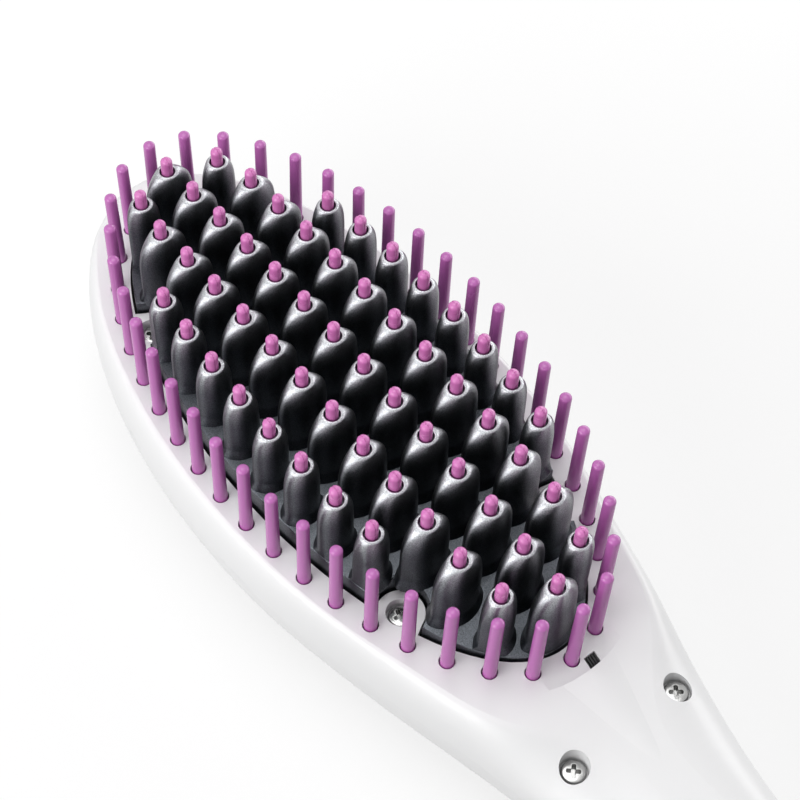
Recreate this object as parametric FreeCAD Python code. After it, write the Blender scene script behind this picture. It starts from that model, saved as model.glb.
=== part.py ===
import FreeCAD, Part
import math
import os

# Heated straightening brush: a heater plate with leaf-shaped fins, a ring of guard bristles and a slim handle.
# Lengths are millimetres. The brush lies on its back, bristles up (+Z), with its handle along +X.
# Sizes are worked out from the middle of the heater plate at the flat front face of the cover.
# On export everything moves so that the origin is under the middle of the brush's box.

V = FreeCAD.Vector

# Body outline
HEAD_HALF_LENGTH = 66.2
HEAD_HALF_WIDTH = 30.8
BODY_DEPTH = 26.0
HEAD_PART_DEPTH = 9.0
HANDLE_PART_DEPTH = 13.0
BACK_CROWN = 0.6
FRONT_EDGE_ROUND = 2.4
INNER_EDGE_ROUND = 0.6
BACK_EDGE_ROUND = 15.0
WALL = 2.0
END_WALL = 3.0
END_EDGE_ROUND = 1.5
SHOULDER_X = 46.0
FLAT_END_X = 60.5
NECK_SCREW_X = 71.2
THROAT_X = 90.0
NECK_X = 114.0
HANDLE_END_X = 202.0
GRIP_FROM_END = 42.0
HEEL_FROM_END = 16.0
# Turns at which the oval head's sections stand, from its nose to its shoulder
HEAD_TURNS = (2, 6, 11, 17, 25, 35, 47, 60, 75, 90, 105, 117)
LEAST_FLAT = 0.3
# Each station behind the head: x, half width, front and back level, half widths of the flat front and back
STATIONS = (
    (SHOULDER_X, 23.7, 0.0, -26.5, 20.4, 10.0),
    (FLAT_END_X, 20.1, 0.0, -25.7, 14.5, 7.0),
    (NECK_SCREW_X, 17.6, -1.4, -24.6, 6.0, 6.0),
    (THROAT_X, 13.8, -2.4, -22.9, 4.0, 5.0),
    (NECK_X, 12.6, -2.8, -22.5, 4.0, 5.0),
    (HANDLE_END_X - GRIP_FROM_END, 16.2, -0.8, -26.3, 4.0, 7.0),
    (HANDLE_END_X - HEEL_FROM_END, 15.0, -1.2, -26.4, 8.0, 7.0),
    (HANDLE_END_X, 11.8, -4.6, -21.4, 7.0, 4.0),
)

# Heater plate and its fins
PITCH = 8.0
COLUMN_STEP = 9.49
OUTER_COLUMN_DRAW = 1.86
END_FIN_SHIFT_X = 0.18
END_FIN_SHIFT_Y = 1.47
PLATE_HALF_LENGTH = 55.3
PLATE_HALF_WIDTH = 23.2
PLATE_TOP = 4.4
PLATE_RIM_ROUND = 0.7
CROWN_RADIUS = 364.0
PLATE_GAP = 0.5
FIN_HEIGHT = 14.65
FIN_ROOT = 2.0
OUTER_FIN_DROP = 1.27
FIN_HALF_LENGTH = 4.85
FIN_HALF_THICKNESS = 2.75
OUTER_FIN_HALF_LENGTH = 3.4
OUTER_FIN_HALF_THICKNESS = 2.5
COLLAR_RADIUS = 1.85
# Shares of a fin's height where its outline is set, and how fast it swells below the collar
FIN_SECTIONS = (0.0, 0.05, 0.12, 0.24, 0.42, 0.68, 1.0)
FIN_SWELL_ALONG = 7.0
FIN_SWELL_ACROSS = 3.0
FIN_POINT = 1.3
FIN_POINT_SHARE = 0.33
LEAF_STEPS = 16

# Cool tips and guard bristles
TIP_RADIUS = 1.05
TIP_PROUD = 2.25
TIP_SEAT_CLEARANCE = 0.02
TIP_MOUTH_RADIUS = 1.36
TIP_MOUTH_DEPTH = 1.6
TIP_SEAT_DEPTH = 6.0
RING_HALF_LENGTH = 57.8
RING_HALF_WIDTH = 26.4
BRISTLE_COUNT = 40
BRISTLE_FOOT_RADIUS = 1.17
BRISTLE_TIP_RADIUS = 1.05
BRISTLE_HEIGHT = 16.3
BRISTLE_CLEARANCE = 0.2
CARRIER_THICKNESS = 2.0
CARRIER_INSIDE = 1.5
CARRIER_OUTSIDE = 1.3
STACK_GAP = 0.15

# Heater stack under the plate
POCKET_HALF_LENGTH = 44.0
POCKET_HALF_WIDTH = 9.0
POCKET_CEILING = -0.8
FIT_CLEARANCE = 0.3
STRIP_LENGTH = 36.5
STRIP_WIDTH = 14.0
STRIP_THICKNESS = 1.6
STRIP_MIDDLE_GAP = 4.4
MICA_THICKNESS = 0.4
CLAMP_THICKNESS = 1.0
FRAME_THICKNESS = 2.0
FRAME_WINDOW_HALF_WIDTH = 11.0
FUSE_RADIUS = 2.0
FUSE_LENGTH = 11.0
FUSE_X = -18.0
PROBE_RADIUS = 1.3
PROBE_LENGTH = 8.0
PROBE_X = 17.0
TOUCH_GAP = 0.05

# Fasteners
TONGUE_X = 34.9
TONGUE_Y = 16.3
TONGUE_RADIUS = 4.0
TONGUE_FLARE = 1.6
TONGUE_REACH = 8.0
TONGUE_LEAN = 70.0
HEAD_RADIUS = 2.1
HEAD_HEIGHT = 1.5
HEAD_ROUND_SHARE = 0.4
SHANK_RADIUS = 1.2
SHANK_LENGTH = 10.0
SCREW_HOLE_CLEARANCE = 0.2
PILOT_CLEARANCE = 0.03
COUNTERBORE_RADIUS = 2.45
TONGUE_HEAD_SINK = 1.1
NECK_SCREW_Y = 10.9
NECK_HEAD_SINK = 3.9
SEAT_UNDER_HEAD = 2.4
BOSS_RADIUS = 2.9
SMALL_HEAD_RADIUS = 1.9
SMALL_HEAD_HEIGHT = 1.2
SMALL_SHANK_RADIUS = 1.0
PLATE_SCREW_GRIP = 4.0
CLAMP_SCREW_GRIP = 1.6
BOARD_SCREW_GRIP = 1.6
PLATE_SCREW_X = 20.0
PLATE_SCREW_Y = 15.0
POST_RADIUS = 2.5
SIDE_POST_Y = 19.0
END_POST_X = 48.0

# Ion outlet on the neck
SHEET_STEPS = 8
SCOOP_START_X = 55.5
SCOOP_WALL_X = 61.13
SCOOP_Y = 1.1
SCOOP_WALL_RADIUS = 21.3
SCOOP_HALF_WIDTH = 8.6
SCOOP_DEPTH = 1.4
SCOOP_LIFT = 0.2
SCOOP_PAD_DEPTH = 4.4
SCOOP_PAD_LENGTH = 7.5
SCOOP_PAD_HALF_WIDTH = 7.8
HOOD_START_X = 58.5
HOOD_END_X = 84.0
HOOD_HALF_WIDTH = 7.8
HOOD_END_HALF_WIDTH = 1.2
HOOD_RISE = 0.55
HOOD_SINK = 0.15
VENT_LENGTH = 2.0
VENT_WIDTH = 2.2
VENT_X = 59.85
VENT_Y = 2.77
VENT_SINK = 0.25
VENT_CLEARANCE = 0.03
NEEDLE_RADIUS = 0.4
NEEDLE_LENGTH = 9.0
ION_LENGTH = 30.0
ION_WIDTH = 16.0
ION_HEIGHT = 10.0
ION_X = 24.0

# Controls on the back of the handle
PANEL_START_X = 84.0
PANEL_END_X = 146.0
PANEL_HALF_WIDTH = 7.2
PANEL_THICKNESS = 1.0
PANEL_FACE = -22.2
PANEL_CLEARANCE = 0.1
PANEL_SHELF = 1.2
WINDOW_X = 99.0
WINDOW_LENGTH = 22.0
WINDOW_WIDTH = 9.6
WINDOW_THICKNESS = 1.6
BUTTON_XS = {"plus": 117.0, "minus": 126.5, "power": 137.5}
BUTTON_RADIUS = 3.4
POWER_BUTTON_RADIUS = 4.4
BUTTON_PROUD = 0.8
BUTTON_EDGE = 0.5
BUTTON_CLEARANCE = 0.3
BUTTON_LIP = 0.8
BUTTON_LIP_THICKNESS = 0.8
BUTTON_REST_GAP = 0.1
BUTTON_TRAVEL = 0.5
PLUNGER_RADIUS = 1.5
PLUNGER_LENGTH = 1.6
SWITCH_SIZE = 6.0
SWITCH_HEIGHT = 2.6
BOARD_START_X = 80.0
BOARD_END_X = 150.0
BOARD_HALF_WIDTH = 8.2
BOARD_THICKNESS = 1.6
BOARD_SCREW_INSET = 3.0
BOARD_POST_RADIUS = 2.2
DISPLAY_LENGTH = 25.0
DISPLAY_WIDTH = 12.6
DISPLAY_HEIGHT = 2.4
CAPACITOR_RADIUS = 4.0
CAPACITOR_LENGTH = 15.0
TRIAC_LENGTH = 10.0
TRIAC_WIDTH = 4.5
TRIAC_HEIGHT = 8.0
RELAY_LENGTH = 15.0
RELAY_WIDTH = 10.0
RELAY_HEIGHT = 8.0

# Cord swivel in the end of the handle
SWIVEL_RADIUS = 5.0
SWIVEL_CLEARANCE = 0.08
SWIVEL_END_PLAY = 0.2
SWIVEL_FLANGE_RADIUS = 5.9
SWIVEL_FLANGE_THICKNESS = 2.4
SWIVEL_NOSE_RADIUS = 6.4
SWIVEL_NOSE_END_RADIUS = 5.2
SWIVEL_NOSE_LENGTH = 7.3
SWIVEL_SHAFT_RADIUS = 3.6
SWIVEL_SHAFT_LENGTH = 14.0
CORD_BORE_RADIUS = 3.1
SHAFT_BORE_RADIUS = 2.0
RING_WALL = 0.8
RING_WIDTH = 3.0
RING_PITCH = 6.0
RING_FIT = 0.02
CONTACT_THICKNESS = 0.4
CONTACT_WIDTH = 2.4
CONTACT_LENGTH = 9.0
CONTACT_GAP = 0.08
HOLDER_WIDTH = 15.0
HOLDER_LENGTH = 14.0

# Levels that follow from the sizes above
CARRIER_TOP = -WALL - STACK_GAP
FRAME_TOP = CARRIER_TOP - CARRIER_THICKNESS
FRAME_BOTTOM = FRAME_TOP - FRAME_THICKNESS
STRIP_BOTTOM = POCKET_CEILING - STRIP_THICKNESS
MICA_BOTTOM = STRIP_BOTTOM - MICA_THICKNESS
CLAMP_BOTTOM = MICA_BOTTOM - CLAMP_THICKNESS
FLOOR = WALL - BODY_DEPTH
TONGUE_SEAT = -TONGUE_HEAD_SINK - HEAD_HEIGHT
TONGUE_BOSS_END = TONGUE_SEAT - SEAT_UNDER_HEAD
NECK_SEAT = -NECK_HEAD_SINK - HEAD_HEIGHT
NECK_BOSS_END = NECK_SEAT - SEAT_UNDER_HEAD
PANEL_BACK = PANEL_FACE + PANEL_THICKNESS
SHELF_TOP = PANEL_BACK + PANEL_SHELF
BUTTON_TOP = SHELF_TOP + BUTTON_REST_GAP + BUTTON_LIP_THICKNESS
BOARD_BOTTOM = BUTTON_TOP + SWITCH_HEIGHT + BUTTON_TRAVEL + BUTTON_REST_GAP
BOARD_TOP = BOARD_BOTTOM + BOARD_THICKNESS
AXIS_Z = -HANDLE_PART_DEPTH
SWIVEL_END_X = HANDLE_END_X + SWIVEL_END_PLAY + SWIVEL_NOSE_LENGTH
ORIGIN = V((SWIVEL_END_X - HEAD_HALF_LENGTH) / 2, 0, -BODY_DEPTH)
REACH = 400.0


def cylinder(radius, low, high, x=0.0, y=0.0):
    return Part.makeCylinder(radius, high - low, V(x, y, low))


def box(length, width, low, high, x=0.0, y=0.0):
    return Part.makeBox(length, width, high - low, V(x - length / 2, y - width / 2, low))


def rod(radius, start_x, end_x, y=0.0, z=AXIS_Z):
    """Round bar along X."""
    return Part.makeCylinder(radius, end_x - start_x, V(start_x, y, z), V(1, 0, 0))


def prism(points, low, high):
    """Upright prism on a polygon of (x, y) points."""
    corners = [V(x, y, low) for x, y in points]
    return Part.Face(Part.makePolygon(corners + corners[:1])).extrude(V(0, 0, high - low))


def oval(half_length, half_width, low, high):
    ellipse = Part.Ellipse(V(0, 0, low), half_length, half_width)
    return Part.Face(Part.Wire(ellipse.toShape())).extrude(V(0, 0, high - low))


def slot(start_x, end_x, half_width, low, high):
    """Upright prism with straight sides and round ends, long along X."""
    left, right = start_x + half_width, end_x - half_width
    a, b = V(left, half_width, low), V(left, -half_width, low)
    c, d = V(right, -half_width, low), V(right, half_width, low)
    edges = [
        Part.Arc(a, V(start_x, 0, low), b).toShape(),
        Part.LineSegment(b, c).toShape(),
        Part.Arc(c, V(end_x, 0, low), d).toShape(),
        Part.LineSegment(d, a).toShape(),
    ]
    return Part.Face(Part.Wire(edges)).extrude(V(0, 0, high - low))


def turned(profile, dome_radius, dome_z):
    """Body turned about Z from (radius, z) corners, closed by a round dome over the last corner."""
    corners = [V(radius, 0, z) for radius, z in profile]
    edges = [Part.LineSegment(a, b).toShape() for a, b in zip(corners, corners[1:])]
    top = V(0, 0, dome_z + dome_radius)
    shoulder = V(dome_radius * math.cos(math.pi / 4), 0, dome_z + dome_radius * math.sin(math.pi / 4))
    edges.append(Part.Arc(corners[-1], shoulder, top).toShape())
    edges.append(Part.LineSegment(top, corners[0]).toShape())
    return Part.Face(Part.Wire(edges)).revolve(V(0, 0, 0), V(0, 0, 1), 360)


def screw(x, y, seat, head_radius, head_height, shank_radius, shank_length, up):
    """Pan-head screw whose head rests on the seat; up is +1 for a head above the seat."""
    sign = 1 if up else -1
    head = Part.makeCylinder(head_radius, head_height, V(x, y, seat), V(0, 0, sign))
    rim = [edge for edge in head.Edges
           if edge.Closed and abs(edge.BoundBox.Center.z - seat) > head_height / 2]
    head = head.makeFillet(head_height * HEAD_ROUND_SHARE, rim)
    shank = Part.makeCylinder(shank_radius, shank_length, V(x, y, seat), V(0, 0, -sign))
    return head.fuse(shank)


def mirrored(x, y):
    return [(sx * x, sy * y) for sx in (-1, 1) for sy in (-1, 1)]


# Body shell

def quarter(start, end, x, level_first):
    """Quarter of an ellipse in the plane at x, from one (y, z) point to another."""
    k = 0.5523
    (y0, z0), (y1, z1) = start, end
    if level_first:
        poles = [(y0, z0), (y0 + k * (y1 - y0), z0), (y1, z1 + k * (z0 - z1)), (y1, z1)]
    else:
        poles = [(y0, z0), (y0, z0 + k * (z1 - z0)), (y1 + k * (y0 - y1), z1), (y1, z1)]
    curve = Part.BezierCurve()
    curve.setPoles([V(x, y, z) for y, z in poles])
    return curve.toShape()


def section(x, half_width, top, side, back, flat, back_flat):
    """Outline across the body: flat front, rounded edges, rounded back."""
    edges = [
        Part.LineSegment(V(x, -flat, top), V(x, flat, top)).toShape(),
        quarter((flat, top), (half_width, side), x, True),
        quarter((half_width, side), (back_flat, back), x, False),
        Part.LineSegment(V(x, back_flat, back), V(x, -back_flat, back)).toShape(),
        quarter((-back_flat, back), (-half_width, side), x, True),
        quarter((-half_width, side), (-flat, top), x, False),
    ]
    return Part.Wire(edges)


def inset_half_width(x, half_length, half_width, inset, least):
    """Half width at x of an oval drawn in by inset."""
    share = 1 - (x / (half_length - inset)) ** 2
    return max((half_width - inset) * math.sqrt(max(share, 0.0)), least)


def head_section(angle, inset):
    """Section of the oval head; the angle runs from the nose round to the shoulder."""
    half_length = HEAD_HALF_LENGTH - inset
    half_width = HEAD_HALF_WIDTH - inset
    x = -half_length * math.cos(math.radians(angle))
    width = half_width * math.sin(math.radians(angle))
    front_round = FRONT_EDGE_ROUND if inset == 0 else INNER_EDGE_ROUND
    back_round = BACK_EDGE_ROUND - inset
    back_depth = BODY_DEPTH + (BACK_CROWN if inset == 0 else -inset) - HEAD_PART_DEPTH
    from_nose = half_length + x

    def rounded(reach):
        short = max(reach - from_nose, 0.0) / reach
        return math.sqrt(1 - short ** 2)

    top = -HEAD_PART_DEPTH + (HEAD_PART_DEPTH - inset) * rounded(front_round)
    back = -HEAD_PART_DEPTH - back_depth * rounded(back_round)
    flat = inset_half_width(x, half_length, half_width, front_round, LEAST_FLAT * width)
    back_flat = inset_half_width(x, half_length, half_width, back_round, LEAST_FLAT * width)
    return section(x, width, top, -HEAD_PART_DEPTH, back, flat, back_flat)


def part_depth(x):
    """Depth of the line where the covers part: level along the head, then falling to the handle's axis."""
    share = min(max((x - FLAT_END_X) / (NECK_X - FLAT_END_X), 0.0), 1.0)
    return HEAD_PART_DEPTH + share * (HANDLE_PART_DEPTH - HEAD_PART_DEPTH)


def body(inset):
    """Whole outside of the brush's body, or with an inset the hollow inside it."""
    wires = [head_section(angle, inset) for angle in HEAD_TURNS]
    for x, half_width, top, back, flat, back_flat in STATIONS:
        if inset:
            front_round = max(half_width - flat - 2 * inset, INNER_EDGE_ROUND)
            flat = half_width - inset - front_round
        station = x - END_WALL if inset and x == HANDLE_END_X else x
        levels = (top - inset, -part_depth(x), back + inset)
        wires.append(section(station, half_width - inset, *levels, flat, back_flat))
    return Part.makeLoft(wires, True, False)


def front_region():
    """Everything above the line where the covers part."""
    line = [
        (-REACH, -HEAD_PART_DEPTH), (FLAT_END_X, -HEAD_PART_DEPTH),
        (NECK_X, -HANDLE_PART_DEPTH), (REACH, -HANDLE_PART_DEPTH),
        (REACH, REACH), (-REACH, REACH),
    ]
    corners = [V(x, -REACH, z) for x, z in line]
    return Part.Face(Part.makePolygon(corners + corners[:1])).extrude(V(0, 2 * REACH, 0))


def outside():
    """Body with a flat back to rest on and a rounded edge round the end of its handle."""
    shape = body(0).cut(box(2 * REACH, 2 * REACH, -REACH, -BODY_DEPTH))
    end = [face for face in shape.Faces if face.BoundBox.XMin > HANDLE_END_X - END_WALL]
    return shape.makeFillet(END_EDGE_ROUND, end[0].Edges)


OUTSIDE = outside()
INSIDE = body(WALL)
SHELL = OUTSIDE.cut(INSIDE)
FRONT = front_region()


def tongue(x, y, grow, low, high):
    """Round-ended tongue of the front cover that reaches into a notch of the heater plate."""
    radius = TONGUE_RADIUS + grow
    root = radius + TONGUE_FLARE
    shape = cylinder(radius, low, high)
    plan = [(0, -radius), (TONGUE_REACH, -root), (TONGUE_REACH, root), (0, radius)]
    shape = shape.fuse(prism(plan, low, high))
    lean = TONGUE_LEAN if x > 0 else 180 - TONGUE_LEAN
    shape.rotate(V(0, 0, 0), V(0, 0, 1), lean if y > 0 else -lean)
    shape.translate(V(x, y, 0))
    return shape


TONGUES = mirrored(TONGUE_X, TONGUE_Y)
NECK_SCREWS = [(NECK_SCREW_X, -NECK_SCREW_Y), (NECK_SCREW_X, NECK_SCREW_Y)]
COVER_SCREWS = ((TONGUES, TONGUE_SEAT, TONGUE_BOSS_END), (NECK_SCREWS, NECK_SEAT, NECK_BOSS_END))
PLATE_SCREWS = mirrored(PLATE_SCREW_X, PLATE_SCREW_Y)
POSTS = [(0, SIDE_POST_Y), (0, -SIDE_POST_Y), (END_POST_X, 0), (-END_POST_X, 0)]
CLAMP_SCREW_X = STRIP_LENGTH + STRIP_MIDDLE_GAP
CLAMP_SCREWS = [(-CLAMP_SCREW_X, 0), (0, 0), (CLAMP_SCREW_X, 0)]
BOARD_SCREWS = [
    (x, y)
    for x in (BOARD_START_X + BOARD_SCREW_INSET, BOARD_END_X - BOARD_SCREW_INSET)
    for y in (BOARD_SCREW_INSET - BOARD_HALF_WIDTH, BOARD_HALF_WIDTH - BOARD_SCREW_INSET)
]


def ring_points():
    """Evenly spaced places along the bristle oval, starting on the axis at the neck."""
    steps = 2000
    turns = [2 * math.pi * i / steps for i in range(steps + 1)]
    places = [(RING_HALF_LENGTH * math.cos(t), RING_HALF_WIDTH * math.sin(t)) for t in turns]
    along = [0.0]
    for before, after in zip(places, places[1:]):
        along.append(along[-1] + math.dist(before, after))
    points = []
    i = 0
    for k in range(BRISTLE_COUNT):
        while along[i + 1] < k * along[-1] / BRISTLE_COUNT:
            i += 1
        points.append(places[i])
    return points


def ring_oval(grow, low, high):
    """Upright oval that follows the ring of bristles at a distance."""
    return oval(RING_HALF_LENGTH + grow, RING_HALF_WIDTH + grow, low, high)


def fin_places():
    """Each fin as (x, y, short, low): five staggered columns, the outer ones bowed in at their ends."""
    places = [((i - 6.5) * PITCH, 0.0, False, False) for i in range(14)]
    for side in (-1, 1):
        for i in range(13):
            x, y = (i - 6) * PITCH, side * COLUMN_STEP
            at_end = i in (0, 12)
            if at_end:
                x += math.copysign(END_FIN_SHIFT_X, x)
                y -= side * END_FIN_SHIFT_Y
            places.append((x, y, at_end, False))
        for i in range(8):
            x = (i - 3.5) * PITCH
            y = side * (2 * COLUMN_STEP - OUTER_COLUMN_DRAW * (x / (3.5 * PITCH)) ** 2)
            places.append((x, y, True, True))
    return places


def crown(x):
    """Level of the plate's arched top at x."""
    return PLATE_TOP - CROWN_RADIUS + math.sqrt(CROWN_RADIUS ** 2 - x ** 2)


def fin_top(x, low):
    return crown(x) + FIN_HEIGHT - (OUTER_FIN_DROP if low else 0.0)


# Front and rear covers

def sheet(start_x, end_x, middle, half_width, level, thickness):
    """Smooth sheet along X, drawn up or down into a body.

    Its middle and half width depend on the share along it, its level on the shares along and across it.
    """
    rows = []
    for i in range(SHEET_STEPS + 1):
        along = i / SHEET_STEPS
        row = []
        for k in range(-SHEET_STEPS, SHEET_STEPS + 1):
            across = k / SHEET_STEPS
            y = middle(along) + across * half_width(along)
            row.append(V(start_x + along * (end_x - start_x), y, level(along, across)))
        rows.append(row)
    surface = Part.BSplineSurface()
    surface.interpolate(rows)
    return surface.toShape().extrude(V(0, 0, thickness))


def scoop():
    """Dished hollow in front of the ion outlet: its floor falls ever steeper and ends at an arched wall."""
    end_x = SCOOP_WALL_X + WALL
    stretch = (end_x - SCOOP_START_X) / (SCOOP_WALL_X - SCOOP_START_X)
    drop = SCOOP_DEPTH + SCOOP_LIFT

    def level(along, across):
        return SCOOP_LIFT - drop * (along * stretch) ** 2 * (1 - across ** 4) ** 2

    def middle(along):
        return SCOOP_Y

    def half_width(along):
        return SCOOP_HALF_WIDTH

    hollow = sheet(SCOOP_START_X, end_x, middle, half_width, level, PITCH)
    wall = cylinder(SCOOP_WALL_RADIUS, -SCOOP_PAD_DEPTH, PITCH, SCOOP_WALL_X - SCOOP_WALL_RADIUS, SCOOP_Y)
    return hollow.common(wall)


def front_level(x):
    """Level of the body's front on its axis."""
    return Part.LineSegment(V(x, 0, AXIS_Z), V(x, 0, REACH)).toShape().common(OUTSIDE).BoundBox.ZMax


def hood():
    """Low swelling that fades out along the neck behind the ion outlet."""
    def level(along, across):
        rise = (HOOD_RISE + HOOD_SINK) * (1 - along) * (1 - across ** 2) ** 2
        return front_level(HOOD_START_X + along * (HOOD_END_X - HOOD_START_X)) - HOOD_SINK + rise

    def half_width(along):
        return HOOD_HALF_WIDTH + along * (HOOD_END_HALF_WIDTH - HOOD_HALF_WIDTH)

    def middle(along):
        return SCOOP_Y * (1 - along)

    return sheet(HOOD_START_X, HOOD_END_X, middle, half_width, level, -WALL / 2)


def swivel_hole():
    return rod(SWIVEL_RADIUS + SWIVEL_CLEARANCE, HANDLE_END_X - 2 * END_WALL, HANDLE_END_X + END_WALL)


def window_hole(low, high):
    clear = 2 * PANEL_CLEARANCE
    return box(WINDOW_LENGTH + clear, WINDOW_WIDTH + clear, low, high, WINDOW_X)


def button_radius(name):
    return POWER_BUTTON_RADIUS if name == "power" else BUTTON_RADIUS


def button_holes(low, high):
    return [cylinder(button_radius(name) + BUTTON_CLEARANCE, low, high, x) for name, x in BUTTON_XS.items()]


def front_cover():
    shape = SHELL.common(FRONT)
    pad_x = RING_HALF_LENGTH + CARRIER_OUTSIDE + FIT_CLEARANCE + SCOOP_PAD_LENGTH / 2
    pad = box(SCOOP_PAD_LENGTH, 2 * SCOOP_PAD_HALF_WIDTH, -SCOOP_PAD_DEPTH, -WALL / 2, pad_x)
    bosses = [cylinder(BOSS_RADIUS, TONGUE_BOSS_END, -WALL / 2, x, y) for x, y in TONGUES]
    for x, y in NECK_SCREWS:
        bosses.append(cylinder(BOSS_RADIUS, NECK_BOSS_END, -WALL / 2, x, y).common(OUTSIDE))
    shape = shape.multiFuse([pad.common(OUTSIDE), hood()] + bosses)
    opening = oval(PLATE_HALF_LENGTH + PLATE_GAP, PLATE_HALF_WIDTH + PLATE_GAP, CARRIER_TOP, HEAD_PART_DEPTH)
    tongues = Part.makeCompound([tongue(x, y, 0, -BODY_DEPTH, REACH) for x, y in TONGUES])
    tools = [opening.cut(tongues), scoop()]
    bristle = BRISTLE_FOOT_RADIUS + BRISTLE_CLEARANCE
    tools += [cylinder(bristle, CARRIER_TOP, PITCH, x, y) for x, y in ring_points()]
    for points, seat, end in COVER_SCREWS:
        for x, y in points:
            tools.append(cylinder(COUNTERBORE_RADIUS, seat, PITCH, x, y))
            tools.append(cylinder(SHANK_RADIUS + SCREW_HOLE_CLEARANCE, end - WALL, seat + WALL, x, y))
    vent = 2 * VENT_CLEARANCE
    tools.append(box(VENT_LENGTH + vent, VENT_WIDTH + vent, -BODY_DEPTH / 2, PITCH, VENT_X, VENT_Y))
    tools.append(swivel_hole())
    return shape.cut(Part.makeCompound(tools))


def rear_cover():
    shape = SHELL.cut(FRONT)
    posts = [cylinder(BOSS_RADIUS, -BODY_DEPTH, TONGUE_BOSS_END, x, y) for x, y in TONGUES]
    posts += [cylinder(BOSS_RADIUS, -BODY_DEPTH, NECK_BOSS_END, x, y) for x, y in NECK_SCREWS]
    posts += [cylinder(POST_RADIUS, -BODY_DEPTH, FRAME_BOTTOM, x, y) for x, y in POSTS]
    posts += [cylinder(BOARD_POST_RADIUS, -BODY_DEPTH, BOARD_BOTTOM, x, y) for x, y in BOARD_SCREWS]
    shelf = slot(PANEL_START_X - WALL, PANEL_END_X + WALL, PANEL_HALF_WIDTH + WALL, -BODY_DEPTH, SHELF_TOP)
    shape = shape.multiFuse([piece.common(OUTSIDE) for piece in posts + [shelf]])
    tools = [
        slot(PANEL_START_X, PANEL_END_X, PANEL_HALF_WIDTH, -REACH, PANEL_BACK),
        window_hole(-REACH, BOARD_BOTTOM),
        swivel_hole(),
    ]
    tools += button_holes(-REACH, BUTTON_TOP)
    pilot = SHANK_RADIUS + PILOT_CLEARANCE
    for points, seat, end in COVER_SCREWS:
        tools += [cylinder(pilot, seat - SHANK_LENGTH - FIT_CLEARANCE, end + WALL, x, y) for x, y in points]
    small = SMALL_SHANK_RADIUS + PILOT_CLEARANCE
    grip_end = BOARD_BOTTOM - BOARD_SCREW_GRIP - FIT_CLEARANCE
    tools += [cylinder(small, grip_end, BOARD_TOP, x, y) for x, y in BOARD_SCREWS]
    return shape.cut(Part.makeCompound(tools))


# Heater plate, tips and bristles

def leaf(half_length, half_thickness, point, z):
    """Closed leaf outline, long across the brush; point 1 is an ellipse and more sharpens its ends."""
    places = []
    for i in range(LEAF_STEPS):
        turn = 2 * math.pi * i / LEAF_STEPS
        across = math.copysign(abs(math.cos(turn)) ** point, math.cos(turn))
        places.append(V(half_thickness * across, half_length * math.sin(turn), z))
    outline = Part.BSplineCurve()
    outline.interpolate(places, PeriodicFlag=True)
    return Part.Wire(outline.toShape())


def fin(half_length, half_thickness):
    """Fin with its top at z = 0: a leaf that closes over into a round collar with a stepped bore."""
    wires = []
    for share in FIN_SECTIONS:
        left = 1 - share
        length = COLLAR_RADIUS + (half_length - COLLAR_RADIUS) * (1 - left ** FIN_SWELL_ALONG)
        thickness = COLLAR_RADIUS + (half_thickness - COLLAR_RADIUS) * (1 - left ** FIN_SWELL_ACROSS)
        point = 1 + (FIN_POINT - 1) * min(1, share / FIN_POINT_SHARE)
        wires.append(leaf(length, thickness, point, -share * FIN_HEIGHT))
    wires.append(leaf(half_length, half_thickness, FIN_POINT, -FIN_HEIGHT - FIN_ROOT))
    shape = Part.makeLoft(wires, True, False)
    mouth = cylinder(TIP_MOUTH_RADIUS, -TIP_MOUTH_DEPTH, TIP_MOUTH_DEPTH)
    seat = cylinder(TIP_RADIUS + TIP_SEAT_CLEARANCE, -TIP_SEAT_DEPTH, TIP_MOUTH_DEPTH)
    return shape.cut(mouth.fuse(seat))


def heater_plate():
    base = oval(PLATE_HALF_LENGTH, PLATE_HALF_WIDTH, FRAME_TOP, PLATE_TOP + PITCH)
    arch = Part.makeCylinder(CROWN_RADIUS, 2 * REACH, V(0, -REACH, PLATE_TOP - CROWN_RADIUS), V(0, 1, 0))
    arch.rotate(V(0, 0, PLATE_TOP - CROWN_RADIUS), V(0, 1, 0), 180)
    base = base.common(arch)
    rim = [edge for edge in base.Edges if edge.BoundBox.ZMin > FRAME_TOP + PLATE_RIM_ROUND]
    base = base.makeFillet(PLATE_RIM_ROUND, rim)
    long_fin = fin(FIN_HALF_LENGTH, FIN_HALF_THICKNESS)
    short_fin = fin(OUTER_FIN_HALF_LENGTH, OUTER_FIN_HALF_THICKNESS)
    outline = oval(PLATE_HALF_LENGTH, PLATE_HALF_WIDTH, FRAME_TOP, PLATE_TOP + 2 * FIN_HEIGHT)
    fins = []
    for x, y, short, low in fin_places():
        shape = (short_fin if short else long_fin).copy()
        shape.translate(V(x, y, fin_top(x, low)))
        fins.append(shape.common(outline) if short else shape)
    shape = base.multiFuse(fins)
    tools = [tongue(x, y, PLATE_GAP, FRAME_TOP - PITCH, PLATE_TOP + 2 * FIN_HEIGHT) for x, y in TONGUES]
    pocket_end = POCKET_HALF_LENGTH
    tools.append(slot(-pocket_end, pocket_end, POCKET_HALF_WIDTH, FRAME_TOP - PITCH, POCKET_CEILING))
    small = SMALL_SHANK_RADIUS + PILOT_CLEARANCE
    plate_grip = FRAME_TOP + PLATE_SCREW_GRIP + FIT_CLEARANCE
    tools += [cylinder(small, FRAME_TOP - WALL, plate_grip, x, y) for x, y in PLATE_SCREWS]
    clamp_grip = POCKET_CEILING + CLAMP_SCREW_GRIP + FIT_CLEARANCE
    tools += [cylinder(small, POCKET_CEILING - WALL, clamp_grip, x, y) for x, y in CLAMP_SCREWS]
    return shape.cut(Part.makeCompound(tools))


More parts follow.
